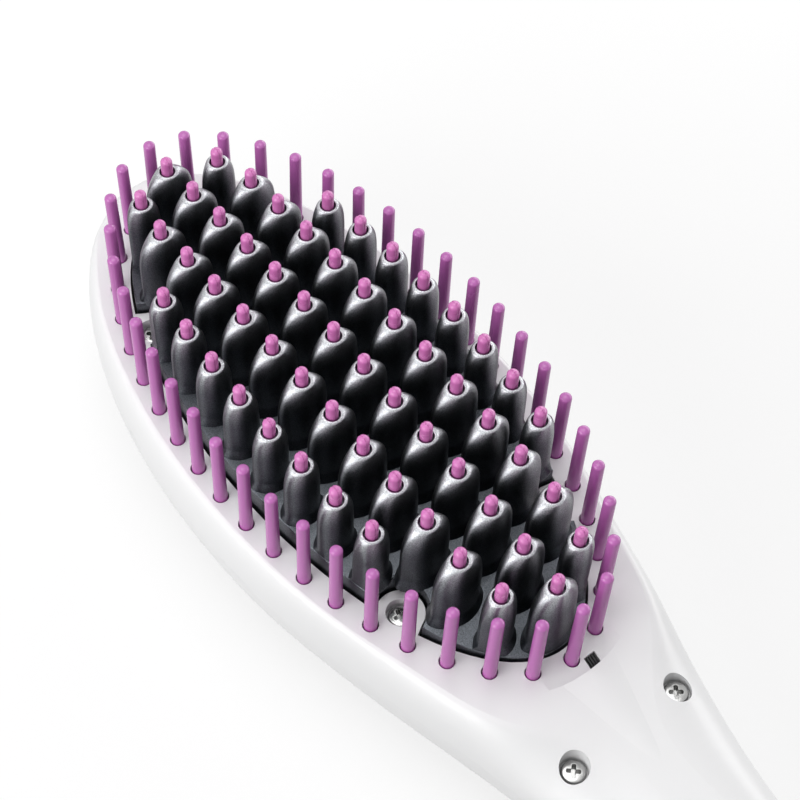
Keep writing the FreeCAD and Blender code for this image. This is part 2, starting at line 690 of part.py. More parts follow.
def cool_tips():
    profile = [(0, -TIP_SEAT_DEPTH), (TIP_RADIUS, -TIP_SEAT_DEPTH), (TIP_RADIUS, TIP_PROUD)]
    tip = turned(profile, TIP_RADIUS, TIP_PROUD)
    tips = []
    for x, y, _, low in fin_places():
        shape = tip.copy()
        shape.translate(V(x, y, fin_top(x, low)))
        tips.append(shape)
    return Part.makeCompound(tips)


def bristle_ring():
    carrier = ring_oval(CARRIER_OUTSIDE, FRAME_TOP, CARRIER_TOP)
    hole = ring_oval(-CARRIER_INSIDE, FRAME_TOP, CARRIER_TOP)
    profile = [(0, FRAME_TOP), (BRISTLE_FOOT_RADIUS, FRAME_TOP), (BRISTLE_TIP_RADIUS, BRISTLE_HEIGHT)]
    bristle = turned(profile, BRISTLE_TIP_RADIUS, BRISTLE_HEIGHT)
    bristles = []
    for x, y in ring_points():
        shape = bristle.copy()
        shape.translate(V(x, y, 0))
        bristles.append(shape)
    return carrier.cut(hole).multiFuse(bristles)


# Heater stack

def heater_frame():
    shape = ring_oval(CARRIER_OUTSIDE, FRAME_BOTTOM, FRAME_TOP)
    window = CLAMP_SCREW_X + SMALL_HEAD_RADIUS + PLATE_GAP
    tools = [slot(-window, window, FRAME_WINDOW_HALF_WIDTH, -BODY_DEPTH, 0)]
    tools += [cylinder(BOSS_RADIUS + PLATE_GAP, -BODY_DEPTH, 0, x, y) for x, y in TONGUES]
    hole = SMALL_SHANK_RADIUS + SCREW_HOLE_CLEARANCE
    tools += [cylinder(hole, -BODY_DEPTH, 0, x, y) for x, y in PLATE_SCREWS]
    return shape.cut(Part.makeCompound(tools))


def heater_strips():
    middle = (STRIP_LENGTH + STRIP_MIDDLE_GAP) / 2
    strips = [box(STRIP_LENGTH, STRIP_WIDTH, STRIP_BOTTOM, POCKET_CEILING, x) for x in (-middle, middle)]
    return Part.makeCompound(strips)


def pocket_sheet(low, high):
    """Sheet that fills the plate's pocket, with holes for the clamp screws."""
    end = POCKET_HALF_LENGTH - FIT_CLEARANCE
    shape = slot(-end, end, POCKET_HALF_WIDTH - FIT_CLEARANCE, low, high)
    holes = [cylinder(SMALL_SHANK_RADIUS + SCREW_HOLE_CLEARANCE, low, high, x, y) for x, y in CLAMP_SCREWS]
    return shape.cut(Part.makeCompound(holes))


def thermal_fuse():
    z = CLAMP_BOTTOM - TOUCH_GAP - FUSE_RADIUS
    can = rod(FUSE_RADIUS, FUSE_X - FUSE_LENGTH / 2, FUSE_X + FUSE_LENGTH / 2, 0, z)
    leads = rod(FUSE_RADIUS / 5, FUSE_X - FUSE_LENGTH, FUSE_X + FUSE_LENGTH, 0, z)
    return can.fuse(leads)


def thermistor():
    z = CLAMP_BOTTOM - TOUCH_GAP - PROBE_RADIUS
    probe = rod(PROBE_RADIUS, PROBE_X - PROBE_LENGTH / 2, PROBE_X + PROBE_LENGTH / 2, 0, z)
    bead = Part.makeSphere(PROBE_RADIUS, V(PROBE_X - PROBE_LENGTH / 2, 0, z))
    return probe.fuse(bead)


def small_screws(points, seat, grip, up):
    sizes = (SMALL_HEAD_RADIUS, SMALL_HEAD_HEIGHT, SMALL_SHANK_RADIUS, grip)
    return Part.makeCompound([screw(x, y, seat, *sizes, up) for x, y in points])


def cover_screws(points, seat):
    sizes = (HEAD_RADIUS, HEAD_HEIGHT, SHANK_RADIUS, SHANK_LENGTH)
    return Part.makeCompound([screw(x, y, seat, *sizes, True) for x, y in points])


# Ion outlet

def ion_vent():
    """Insert whose face follows the fall of the hollow; its foot steps over the bristle carrier."""
    shape = box(VENT_LENGTH, VENT_WIDTH, -SCOOP_PAD_DEPTH - VENT_SINK, PITCH, VENT_X, VENT_Y)
    above = scoop()
    above.translate(V(0, 0, -VENT_SINK))
    shape = shape.cut(above).cut(box(PITCH, PITCH, 0, 2 * PITCH, VENT_X, VENT_Y))
    shape = shape.cut(ring_oval(CARRIER_OUTSIDE + FIT_CLEARANCE, -BODY_DEPTH, -WALL))
    bore = cylinder(NEEDLE_RADIUS + PILOT_CLEARANCE, -BODY_DEPTH, PITCH, VENT_X, VENT_Y)
    return shape.cut(bore)


def ion_needle():
    top = -SCOOP_DEPTH - 2 * VENT_SINK
    return cylinder(NEEDLE_RADIUS, top - NEEDLE_LENGTH, top, VENT_X, VENT_Y)


def ion_generator():
    shape = box(ION_LENGTH, ION_WIDTH, FLOOR + TOUCH_GAP, FLOOR + ION_HEIGHT, ION_X)
    upright = [edge for edge in shape.Edges if edge.BoundBox.ZLength > ION_HEIGHT / 2]
    return shape.makeFillet(WALL / 2, upright)


# Controls

def button(name):
    """Round cap that stands proud of the panel, with a lip that keeps it inside."""
    x, radius = BUTTON_XS[name], button_radius(name)
    cap = cylinder(radius, PANEL_FACE - BUTTON_PROUD, BUTTON_TOP, x)
    rim = [edge for edge in cap.Edges if edge.Closed and edge.BoundBox.Center.z < PANEL_FACE]
    cap = cap.makeFillet(BUTTON_EDGE, rim)
    return cap.fuse(cylinder(radius + BUTTON_LIP, BUTTON_TOP - BUTTON_LIP_THICKNESS, BUTTON_TOP, x))


def plunger(name):
    return cylinder(PLUNGER_RADIUS, BUTTON_TOP, BUTTON_TOP + PLUNGER_LENGTH, BUTTON_XS[name])


def tact_switches():
    low = BOARD_BOTTOM - SWITCH_HEIGHT
    well_end = BUTTON_TOP + PLUNGER_LENGTH + 2 * BUTTON_TRAVEL
    switches = []
    for x in BUTTON_XS.values():
        well = cylinder(PLUNGER_RADIUS + BUTTON_CLEARANCE, low - WALL, well_end, x)
        switches.append(box(SWITCH_SIZE, SWITCH_SIZE, low, BOARD_BOTTOM, x).cut(well))
    return Part.makeCompound(switches)


def control_panel():
    clear = PANEL_CLEARANCE
    start, end = PANEL_START_X + clear, PANEL_END_X - clear
    shape = slot(start, end, PANEL_HALF_WIDTH - clear, PANEL_FACE, PANEL_BACK)
    tools = [window_hole(PANEL_FACE, PANEL_BACK)] + button_holes(PANEL_FACE, PANEL_BACK)
    return shape.cut(Part.makeCompound(tools))


def display_window():
    return box(WINDOW_LENGTH, WINDOW_WIDTH, PANEL_FACE, PANEL_FACE + WINDOW_THICKNESS, WINDOW_X)


def display_module():
    return box(DISPLAY_LENGTH, DISPLAY_WIDTH, BOARD_BOTTOM - DISPLAY_HEIGHT, BOARD_BOTTOM, WINDOW_X)


def main_board():
    middle = (BOARD_START_X + BOARD_END_X) / 2
    shape = box(BOARD_END_X - BOARD_START_X, 2 * BOARD_HALF_WIDTH, BOARD_BOTTOM, BOARD_TOP, middle)
    hole = SMALL_SHANK_RADIUS + SCREW_HOLE_CLEARANCE
    holes = [cylinder(hole, BOARD_BOTTOM, BOARD_TOP, x, y) for x, y in BOARD_SCREWS]
    return shape.cut(Part.makeCompound(holes))


def capacitor():
    z = BOARD_TOP + TOUCH_GAP + CAPACITOR_RADIUS
    return rod(CAPACITOR_RADIUS, THROAT_X, THROAT_X + CAPACITOR_LENGTH, 0, z)


def triac():
    return box(TRIAC_LENGTH, TRIAC_WIDTH, BOARD_TOP, BOARD_TOP + TRIAC_HEIGHT, NECK_X)


def relay():
    x = NECK_X + RELAY_LENGTH + TRIAC_LENGTH / 2
    return box(RELAY_LENGTH, RELAY_WIDTH, BOARD_TOP, BOARD_TOP + RELAY_HEIGHT, x)


# Cord swivel

FLANGE_X = HANDLE_END_X - END_WALL - SWIVEL_END_PLAY - SWIVEL_FLANGE_THICKNESS
SHAFT_X = FLANGE_X - SWIVEL_SHAFT_LENGTH
RING_XS = [SHAFT_X + RING_WIDTH, SHAFT_X + RING_WIDTH + RING_PITCH]


def swivel_bush():
    """Gland that the cord enters by: it turns in the end wall between a flange and a tapered nose."""
    nose_x = HANDLE_END_X + SWIVEL_END_PLAY
    radii = (SWIVEL_NOSE_RADIUS, SWIVEL_NOSE_END_RADIUS)
    nose = Part.makeCone(*radii, SWIVEL_NOSE_LENGTH, V(nose_x, 0, AXIS_Z), V(1, 0, 0))
    shape = nose.multiFuse([
        rod(SWIVEL_RADIUS, FLANGE_X, nose_x),
        rod(SWIVEL_FLANGE_RADIUS, FLANGE_X, FLANGE_X + SWIVEL_FLANGE_THICKNESS),
        rod(SWIVEL_SHAFT_RADIUS, SHAFT_X, FLANGE_X),
    ])
    bores = [rod(CORD_BORE_RADIUS, FLANGE_X, SWIVEL_END_X), rod(SHAFT_BORE_RADIUS, SHAFT_X, FLANGE_X)]
    return shape.cut(bores[0].fuse(bores[1]))


def slip_rings():
    inner = SWIVEL_SHAFT_RADIUS + RING_FIT
    rings = [rod(inner + RING_WALL, x, x + RING_WIDTH).cut(rod(inner, x, x + RING_WIDTH)) for x in RING_XS]
    return Part.makeCompound(rings)


CONTACT_TOP = AXIS_Z - SWIVEL_SHAFT_RADIUS - RING_FIT - RING_WALL - CONTACT_GAP
HOLDER_X = SHAFT_X + HOLDER_LENGTH / 2


def contact_springs():
    """Two flat springs that bear on the slip rings from below."""
    low = CONTACT_TOP - CONTACT_THICKNESS
    springs = [box(CONTACT_WIDTH, CONTACT_LENGTH, low, CONTACT_TOP, x + RING_WIDTH / 2) for x in RING_XS]
    return Part.makeCompound(springs)


def contact_holder():
    """Block on the floor of the handle that carries the contact springs."""
    top = CONTACT_TOP - CONTACT_THICKNESS
    block = box(HOLDER_LENGTH, HOLDER_WIDTH, -BODY_DEPTH, top, HOLDER_X)
    return block.common(INSIDE)


def parts():
    board_grip = BOARD_THICKNESS + BOARD_SCREW_GRIP
    plate_grip = FRAME_THICKNESS + PLATE_SCREW_GRIP
    clamp_grip = POCKET_CEILING - CLAMP_BOTTOM + CLAMP_SCREW_GRIP
    shapes = {
        "front_cover": front_cover(),
        "rear_cover": rear_cover(),
        "heater_plate": heater_plate(),
        "cool_tips": cool_tips(),
        "bristle_ring": bristle_ring(),
        "heater_frame": heater_frame(),
        "heater_strips": heater_strips(),
        "mica_sheet": pocket_sheet(MICA_BOTTOM, STRIP_BOTTOM),
        "clamp_plate": pocket_sheet(CLAMP_BOTTOM, MICA_BOTTOM),
        "clamp_screws": small_screws(CLAMP_SCREWS, CLAMP_BOTTOM, clamp_grip, False),
        "plate_screws": small_screws(PLATE_SCREWS, FRAME_BOTTOM, plate_grip, False),
        "thermal_fuse": thermal_fuse(),
        "thermistor": thermistor(),
        "ion_generator": ion_generator(),
        "ion_vent": ion_vent(),
        "ion_needle": ion_needle(),
        "head_screws": cover_screws(TONGUES, TONGUE_SEAT),
        "neck_screws": cover_screws(NECK_SCREWS, NECK_SEAT),
        "main_board": main_board(),
        "board_screws": small_screws(BOARD_SCREWS, BOARD_TOP, board_grip, True),
        "capacitor": capacitor(),
        "triac": triac(),
        "relay": relay(),
        "display_module": display_module(),
        "display_window": display_window(),
        "control_panel": control_panel(),
        "tact_switches": tact_switches(),
        "swivel_bush": swivel_bush(),
        "slip_rings": slip_rings(),
        "contact_springs": contact_springs(),
        "contact_holder": contact_holder(),
    }
    for name in BUTTON_XS:
        shapes[name + "_button"] = button(name)
        shapes[name + "_plunger"] = plunger(name)
    return shapes


os.makedirs("parts", exist_ok=True)
for node, solid in parts().items():
    solid.translate(-ORIGIN)
    solid.exportStep(os.path.join("parts", node + ".step"))
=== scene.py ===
"""Looks of a heated straightening brush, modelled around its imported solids."""
import math
import random
from bisect import bisect_left
from itertools import accumulate

import bmesh
import bpy
from bpy.props import FloatProperty, FloatVectorProperty, IntProperty, PointerProperty
from mathutils import Matrix, Vector


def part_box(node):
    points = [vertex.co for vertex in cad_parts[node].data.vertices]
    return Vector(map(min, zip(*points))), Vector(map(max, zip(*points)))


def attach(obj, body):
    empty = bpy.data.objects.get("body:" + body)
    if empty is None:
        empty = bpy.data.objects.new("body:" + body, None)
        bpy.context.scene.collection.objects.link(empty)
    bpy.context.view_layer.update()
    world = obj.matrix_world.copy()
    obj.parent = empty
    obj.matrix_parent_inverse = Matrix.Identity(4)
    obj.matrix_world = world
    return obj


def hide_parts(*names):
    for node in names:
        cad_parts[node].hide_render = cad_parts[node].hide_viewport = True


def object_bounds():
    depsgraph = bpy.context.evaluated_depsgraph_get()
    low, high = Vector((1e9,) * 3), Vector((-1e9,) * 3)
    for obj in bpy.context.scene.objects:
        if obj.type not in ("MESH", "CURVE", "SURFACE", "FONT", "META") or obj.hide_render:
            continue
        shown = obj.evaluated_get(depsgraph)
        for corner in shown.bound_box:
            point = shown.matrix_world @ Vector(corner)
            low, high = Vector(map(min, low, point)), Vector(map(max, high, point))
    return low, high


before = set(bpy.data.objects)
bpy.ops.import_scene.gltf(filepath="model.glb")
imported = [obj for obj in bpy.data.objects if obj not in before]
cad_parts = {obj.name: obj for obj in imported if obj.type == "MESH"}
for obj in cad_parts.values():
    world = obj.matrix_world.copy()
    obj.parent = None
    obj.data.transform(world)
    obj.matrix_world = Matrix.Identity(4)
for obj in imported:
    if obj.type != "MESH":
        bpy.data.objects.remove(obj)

bl_info = {
    "name": "Heated straightening brush",
    "version": (1, 0, 0),
    "blender": (4, 5, 0),
    "location": "View3D > Sidebar > Brush",
    "description": "Models and finishes the pieces of a heated straightening brush",
    "category": "Object",
}

MM = 0.001
MERGE = 1e-7
SHARP = math.radians(38)
ROOT = "handle_and_head"
CAD_LOW, CAD_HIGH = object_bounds()
PLATE_LOW, PLATE_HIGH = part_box("heater_plate")
RING_LOW, RING_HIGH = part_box("bristle_ring")
HEAD_X = (PLATE_LOW.x + PLATE_HIGH.x) / 2
HALF_LENGTH = (PLATE_HIGH.x - PLATE_LOW.x) / 2
HALF_WIDTH = (PLATE_HIGH.y - PLATE_LOW.y) / 2

# Fins in the middle column, in the columns beside it and in the outer ones
MIDDLE_FINS, SIDE_FINS, OUTER_FINS = 14, 13, 8
# Fin: last ring in its mouth, rings down its side, their crowding, and how fast its ends get pointed
LAST_INNER_RING = 3
SIDE_RINGS = 16
RING_CROWDING = 1.4
POINT_SWELL = 4
NOTCH_STEPS = 16
# Screw: share of its head that is rounded, taper and corner round of the cross recess
HEAD_EDGE = 0.62
RECESS_TAPER = (0.55, 0.75, 1.0)
RECESS_ROUND = 0.3
RIB_ROUND = 0.25
# Digit: half width as a share of its height, half thickness and corner round as shares of a stroke
DIGIT_HALF_WIDTH = 0.27
DIGIT_PROUD = 0.1
DIGIT_ROUND = 0.3
# Power sign: half of the gap in its ring, and place of its bar as a share of the ring's radius
POWER_GAP = math.radians(35)
POWER_BAR = 0.75
BRISTLE_SEED = 7
SCREW_SEED = 11
# Width of the camera's sensor in millimetres, and the nearest distance that it sees in metres
SENSOR = 36.0
NEAREST = 0.01


# Properties

def size(name, about, millimetres):
    """A length that a user can change, kept in metres."""
    return FloatProperty(name=name, description=about, default=millimetres * MM,
                         precision=5, unit="LENGTH", subtype="DISTANCE")


def share(name, about, value):
    return FloatProperty(name=name, description=about, default=value, precision=3)


def count(name, about, value):
    return IntProperty(name=name, description=about, default=value, min=3)


def angle(name, about, degrees):
    return FloatProperty(name=name, description=about, default=math.radians(degrees),
                         unit="ROTATION", subtype="ANGLE")


def colour(name, about, red, green, blue):
    return FloatVectorProperty(name=name, description=about, default=(red, green, blue),
                               size=3, min=0.0, max=1.0, subtype="COLOR")


class PlateSizes(bpy.types.PropertyGroup):
    """Cast heater plate and its fins."""
    face: size("Cover face", "Height of the cover's face above the plate's underside", 4.15)
    top: size("Plate top", "Height of the plate's middle above the cover's face", 4.4)
    crown: size("Crown radius", "Radius of the plate's arch along the brush", 364.0)
    rim: size("Rim round", "Rounding of the plate's upper edge", 0.7)
    pitch: size("Pitch", "Step from fin to fin along a column", 8.0)
    column: size("Column step", "Step from column to column", 9.49)
    draw: size("Outer draw", "How far the ends of the outer columns are drawn in", 1.86)
    end_x: size("End shift along", "How far the corner fins move out along the brush", 0.18)
    end_y: size("End shift across", "How far the corner fins move in across the brush", 1.47)
    height: size("Fin height", "Height of a fin above the plate", 14.65)
    drop: size("Outer drop", "How much lower the outer fins end", 1.27)
    length: size("Fin half length", "Half length of a long fin at its foot", 4.85)
    thickness: size("Fin half thickness", "Half thickness of a long fin at its foot", 2.75)
    short_length: size("Short half length", "Half length of a short fin at its foot", 3.4)
    short_thickness: size("Short half thickness", "Half thickness of a short fin at its foot", 2.5)
    collar: size("Collar radius", "Outer radius of the collar round a tip", 1.85)
    mouth: size("Mouth radius", "Radius of the recess round a tip", 1.36)
    mouth_depth: size("Mouth depth", "Depth of the recess round a tip", 1.6)
    seat_depth: size("Seat depth", "How deep a tip sits in its fin", 6.0)
    lip: size("Lip round", "Rounding of the recess's edge", 0.14)
    foot: size("Foot round", "Fillet where a fin meets the plate", 0.7)
    # How far down a fin the painted highlight reaches, as a share of its height
    sheen: share("Polished share", "How far down a fin its coat is worn bright", 0.42)
    lean_in: size("Edge inset", "How far outer fins keep inside the plate's edge", 0.12)
    swell_along: share("Swell along", "How fast a fin widens along its length below the collar", 7.0)
    swell_across: share("Swell across", "How fast a fin thickens below the collar", 3.0)
    point: share("Leaf point", "How pointed the ends of a fin are, from 1 for an ellipse", 1.3)
    notch_x: size("Notch place along", "Notch distance from the plate's middle along the brush", 34.9)
    notch_y: size("Notch place across", "Notch distance from the plate's middle across the brush", 16.3)
    notch: size("Notch radius", "Radius of the notch round a cover tongue", 4.5)
    notch_flare: size("Notch flare", "How much wider a notch gets on each side", 1.6)
    notch_reach: size("Notch reach", "Length of a notch from its round end", 8.0)
    notch_lean: angle("Notch lean", "Turn of a notch away from the brush's axis", 70.0)


class TipSizes(bpy.types.PropertyGroup):
    """Cool tips in the fins."""
    radius: size("Radius", "Radius of a tip", 1.05)
    proud: size("Proud", "Height of the dome's foot above the fin", 2.3)
    blunt: share("Bluntness", "Height of a tip's dome, as a share of its radius", 0.88)
    groove: size("Groove depth", "Depth of the parting groove over a tip", 0.11)


class BristleSizes(bpy.types.PropertyGroup):
    """Ring of guard bristles and its carrier."""
    number: count("Bristles", "How many bristles stand on the ring", 40)
    half_length: size("Ring half length", "Half length of the bristle oval", 57.8)
    half_width: size("Ring half width", "Half width of the bristle oval", 26.4)
    carrier_in: size("Carrier inside", "Carrier width inside the bristle oval", 1.5)
    carrier_out: size("Carrier outside", "Carrier width outside the bristle oval", 1.3)
    carrier: size("Carrier thickness", "Thickness of the oval carrier", 2.0)
    foot: size("Foot radius", "Bristle radius at the carrier", 1.17)
    tip: size("Tip radius", "Bristle radius at its dome", 1.05)
    lean: angle("Lean", "Greatest lean of a bristle", 0.5)
    blunt: share("Bluntness", "Height of a bristle's dome, as a share of its radius", 0.7)


class ScrewSizes(bpy.types.PropertyGroup):
    """Cross-head cover screws."""
    head: size("Head radius", "Radius of the pan head", 2.1)
    height: size("Head height", "Height of the pan head", 1.5)
    flat: size("Flat radius", "Radius of the flat on top of the head", 1.7)
    shank: size("Shank radius", "Radius of the shank", 1.2)
    recess: size("Recess radius", "Reach of the cross recess", 1.55)
    arm: size("Recess arm", "Width of a recess arm", 0.85)
    depth: size("Recess depth", "Depth of the cross recess", 1.2)


class ControlSizes(bpy.types.PropertyGroup):
    """Ion outlet, control panel, buttons and cord gland."""
    ribs: count("Outlet ribs", "Ribs of the ion outlet", 5)
    rib_depth: size("Rib depth", "Depth of the slots between the outlet's ribs", 0.45)
    outlet_fall: size("Outlet fall", "How far the outlet's face falls towards the handle", 0.878)
    lip: size("Button lip", "Width of a button's hidden lip", 0.8)
    lip_height: size("Lip height", "Thickness of a button's hidden lip", 0.8)
    edge: size("Button edge", "Rounding of a button's edge", 0.5)
    dish: size("Button dish", "Depth of a button's sunk face", 0.2)
    dish_edge: size("Dish edge", "Width of the rim round a button's sunk face", 0.9)
    mark: size("Mark width", "Stroke width of the signs on the buttons", 0.42)
    mark_reach: size("Mark reach", "Reach of the signs from a button's middle", 1.35)
    mark_proud: size("Mark height", "Height of the signs on the buttons", 0.05)
    panel_edge: size("Panel edge", "Rounding of the panel's face edges", 0.25)
    window_gap: size("Window gap", "Gap between the panel and its window", 0.1)
    button_gap: size("Button gap", "Gap between the panel and a button", 0.3)
    window_edge: size("Window edge", "Rounding of the window's face edges", 0.2)
    digit: size("Digit height", "Height of a display digit", 6.0)
    digit_step: size("Digit step", "Step from digit to digit", 5.0)
    stroke: size("Digit stroke", "Width of a digit's strokes", 0.75)
    nose: size("Gland nose", "Length of the gland outside the handle", 7.3)
    nose_radius: size("Nose radius", "Radius of the gland at the handle", 6.4)
    nose_end: size("Nose end radius", "Radius of the gland's outer end", 5.2)
    neck: size("Gland neck radius", "Radius of the gland in the handle's end wall", 5.0)
    neck_length: size("Gland neck length", "Length of the gland in the handle's end wall", 3.4)
    flange: size("Flange radius", "Radius of the flange inside the handle", 5.9)
    flange_width: size("Flange width", "Width of the flange inside the handle", 2.4)
    shaft: size("Shaft radius", "Radius of the gland's shaft", 3.6)
    shaft_bore: size("Shaft bore", "Radius of the bore through the shaft", 2.0)
    cord_bore: size("Cord bore", "Radius of the bore for the cord", 3.1)
    groove: size("Gland groove", "Depth of the grooves round the cord gland", 0.5)
    grooves: count("Gland grooves", "Grooves round the cord gland", 3)


class FinishColours(bpy.types.PropertyGroup):
    """Main colours of the brush."""
    shell: colour("Shell", "White plastic of the covers", 0.84, 0.84, 0.845)
    plate: colour("Plate", "Dark coat of the heater plate", 0.10, 0.108, 0.12)
    # Tone of the painted highlight laid over the tops of the fins
    sheen: colour("Polish", "Worn, brighter coat at the top of the fins", 0.55, 0.56, 0.58)
    tip: colour("Tips", "Orchid nylon of the cool tips", 0.66, 0.19, 0.50)
    bristle: colour("Bristles", "Orchid nylon of the guard bristles", 0.51, 0.145, 0.455)
    screw: colour("Screws", "Nickel of the screws", 0.42, 0.42, 0.415)
    panel: colour("Panel", "Gloss black of the control panel", 0.012, 0.012, 0.014)
    button: colour("Buttons", "Grey of the buttons", 0.30, 0.30, 0.31)


class StageSizes(bpy.types.PropertyGroup):
    """Camera, floor and lamps."""
    lens: share("Lens", "Focal length on a 36 mm sensor, in millimetres", 84.96)
    azimuth: angle("Azimuth", "Turn of the camera round the brush", 48.872)
    elevation: angle("Elevation", "Height of the camera above the horizon", 56.213)
    roll: angle("Roll", "Turn of the camera about its own line of sight", 3.076)
    eye: FloatVectorProperty(name="Camera place", description="Where the camera stands",
                             default=(0.06716, -0.10959, 0.29563), size=3, subtype="TRANSLATION")
    floor: size("Floor", "Side of the floor", 8000.0)


GROUPS = {
    "brush_plate": PlateSizes,
    "brush_tips": TipSizes,
    "brush_bristles": BristleSizes,
    "brush_screws": ScrewSizes,
    "brush_controls": ControlSizes,
    "brush_colours": FinishColours,
    "brush_stage": StageSizes,
}


# Mesh helpers

def mesh_of(bm, name):
    """Turns a bmesh into a mesh, and frees it."""
    mesh = bpy.data.meshes.new(name)
    bm.to_mesh(mesh)
    bm.free()
    return mesh


def linked(name, data):
    """A new object in the scene."""
    obj = bpy.data.objects.new(name, data)
    bpy.context.scene.collection.objects.link(obj)
    return obj


def outward(bm):
    """Turns every face outwards."""
    bmesh.ops.recalc_face_normals(bm, faces=bm.faces)
    return bm


def close(bm):
    """Merges doubles and turns every face outwards."""
    bmesh.ops.remove_doubles(bm, verts=bm.verts, dist=MERGE)
    return outward(bm)


def moved(bm, matrix):
    """Moves all of a bmesh."""
    bmesh.ops.transform(bm, matrix=matrix, verts=bm.verts)
    return bm


def raised(bm, faces, height):
    """Extrudes flat faces upwards."""
    made = bmesh.ops.extrude_face_region(bm, geom=faces)["geom"]
    verts = [v for v in made if isinstance(v, bmesh.types.BMVert)]
    bmesh.ops.translate(bm, vec=(0, 0, height), verts=verts)


def turned(profile, steps):
    """Spins a profile of (radius, level) points about the z axis."""
    bm = bmesh.new()
    verts = [bm.verts.new((radius, 0.0, level)) for radius, level in profile]
    edges = [bm.edges.new(pair) for pair in zip(verts, verts[1:])]
    bmesh.ops.spin(bm, geom=verts + edges, cent=(0, 0, 0), axis=(0, 0, 1), dvec=(0, 0, 0),
                   angle=2 * math.pi, steps=steps, use_merge=True)
    return close(bm)


def arc(x, y, radius, start, end, steps):
    """Points along an arc about (x, y), with its ends in degrees."""
    turns = [math.radians(start + (end - start) * i / steps) for i in range(steps + 1)]
    return [(x + radius * math.cos(t), y + radius * math.sin(t)) for t in turns]


def domed(radius, level, blunt):
    """Points of a turned profile over a flattened dome."""
    return [(x, level + blunt * z) for x, z in arc(0.0, 0.0, radius, 0, 90, steps=7)]


def oval(half_length, half_width, steps):
    """Points round an oval; the last one closes it."""
    turns = [2 * math.pi * i / steps for i in range(steps + 1)]
    return [(half_length * math.cos(t), half_width * math.sin(t)) for t in turns]


def extruded(points, low, high):
    """Prism over a flat outline."""
    bm = bmesh.new()
    face = bm.faces.new([bm.verts.new((x, y, low)) for x, y in points])
    raised(bm, [face], high - low)
    return close(bm)


def block(length, width, low, high, x=0.0, y=0.0):
    """Box given by its plan and its levels."""
    bm = bmesh.new()
    scale = Matrix.Diagonal((length, width, high - low, 1))
    bmesh.ops.create_cube(bm, size=1.0, matrix=Matrix.Translation((x, y, (low + high) / 2)) @ scale)
    return bm


def copies(template, placings):
    """One bmesh that holds the template once for each placing, and frees the template."""
    mesh = mesh_of(template, "template")
    bm = bmesh.new()
    for placing in placings:
        start = len(bm.verts)
        bm.from_mesh(mesh)
        bm.verts.ensure_lookup_table()
        bmesh.ops.transform(bm, matrix=placing, verts=bm.verts[start:])
    bpy.data.meshes.remove(mesh)
    return bm


def joined(*parts):
    """One bmesh with the geometry of several, which are freed."""
    bm = bmesh.new()
    for part in parts:
        mesh = mesh_of(part, "part")
        bm.from_mesh(mesh)
        bpy.data.meshes.remove(mesh)
    return bm


def carved(bm, cutter):
    """The bmesh with the cutter's volume taken away; both are freed."""
    body = linked("body", mesh_of(bm, "body"))
    tool = linked("tool", mesh_of(cutter, "tool"))
    cut = body.modifiers.new("cut", "BOOLEAN")
    cut.operation = "DIFFERENCE"
    cut.solver = "EXACT"
    cut.object = tool
    result = bmesh.new()
    result.from_object(body, bpy.context.evaluated_depsgraph_get())
    for obj in (body, tool):
        mesh = obj.data
        bpy.data.objects.remove(obj)
        bpy.data.meshes.remove(mesh)
    bmesh.ops.remove_doubles(result, verts=result.verts, dist=MERGE)
    return result


def rounded(bm, edges, offset, segments):
    """Rounds the given edges."""
    bmesh.ops.bevel(bm, geom=edges, offset=offset, offset_type="OFFSET", segments=segments,
                    profile=0.5, affect="EDGES", material=-1, clamp_overlap=True)


def rim_edges(bm, level):
    """Sharp edges that lie at a level."""
    sharp = [e for e in bm.edges if e.calc_face_angle(0.0) > SHARP]
    return [e for e in sharp if all(abs(v.co.z - level) < MERGE * 10 for v in e.verts)]


def upright_edges(bm):
    return [e for e in bm.edges if abs(e.verts[0].co.z - e.verts[1].co.z) > MERGE]


def piece(name, bm, slot, body, *nodes, sharp=SHARP):
    """Makes a smooth-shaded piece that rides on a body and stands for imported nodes."""
    for face in bm.faces:
        face.smooth = True
    for edge in bm.edges:
        edge.smooth = edge.calc_face_angle(0.0) < sharp
    mesh = mesh_of(bm, name)
    mesh.materials.append(bpy.data.materials[slot])
    obj = linked(name, mesh)
    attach(obj, body)
    if nodes:
        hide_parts(*nodes)


# Places

def plan(low, high):
    """Length, width and middle of a box in plan."""
    return high.x - low.x, high.y - low.y, (low.x + high.x) / 2, (low.y + high.y) / 2


def face_level(plate):
    """Level of the cover's flat front face."""
    return PLATE_LOW.z + plate.face


def row(number, step):
    """Evenly spaced places about 0."""
    return [(i - (number - 1) / 2) * step for i in range(number)]


def fin_places(plate):
    """Each fin as (x, y, short, low): five staggered columns, the outer ones bowed in at their ends."""
    places = [(x, 0.0, False, False) for x in row(MIDDLE_FINS, plate.pitch)]
    beside, outer = row(SIDE_FINS, plate.pitch), row(OUTER_FINS, plate.pitch)
    for side in (-1, 1):
        for x in beside:
            y = side * plate.column
            corner = x in (beside[0], beside[-1])
            if corner:
                x += math.copysign(plate.end_x, x)
                y -= side * plate.end_y
            places.append((x, y, corner, False))
        for x in outer:
            drawn = plate.draw * (x / outer[-1]) ** 2
            places.append((x, side * (2 * plate.column - drawn), True, True))
    return places


def sag(plate, x):
    """How far the plate's arch has fallen at x from its middle."""
    return plate.crown - math.sqrt(plate.crown ** 2 - x ** 2)


def fin_placings(plate):
    """Each fin as (place of its rim, short, low)."""
    placings = []
    for x, y, short, low in fin_places(plate):
        foot = face_level(plate) + plate.top - sag(plate, x)
        rim = foot + plate.height - (plate.drop if low else 0.0)
        placings.append((Matrix.Translation((HEAD_X + x, y, rim)), short, low))
    return placings


# Materials

def wire(tree, *links):
    """Links sockets; each link names a node and its output, then a node and its input."""
    for source, output, target, entry in links:
        tree.links.new(source.outputs[output], target.inputs[entry])


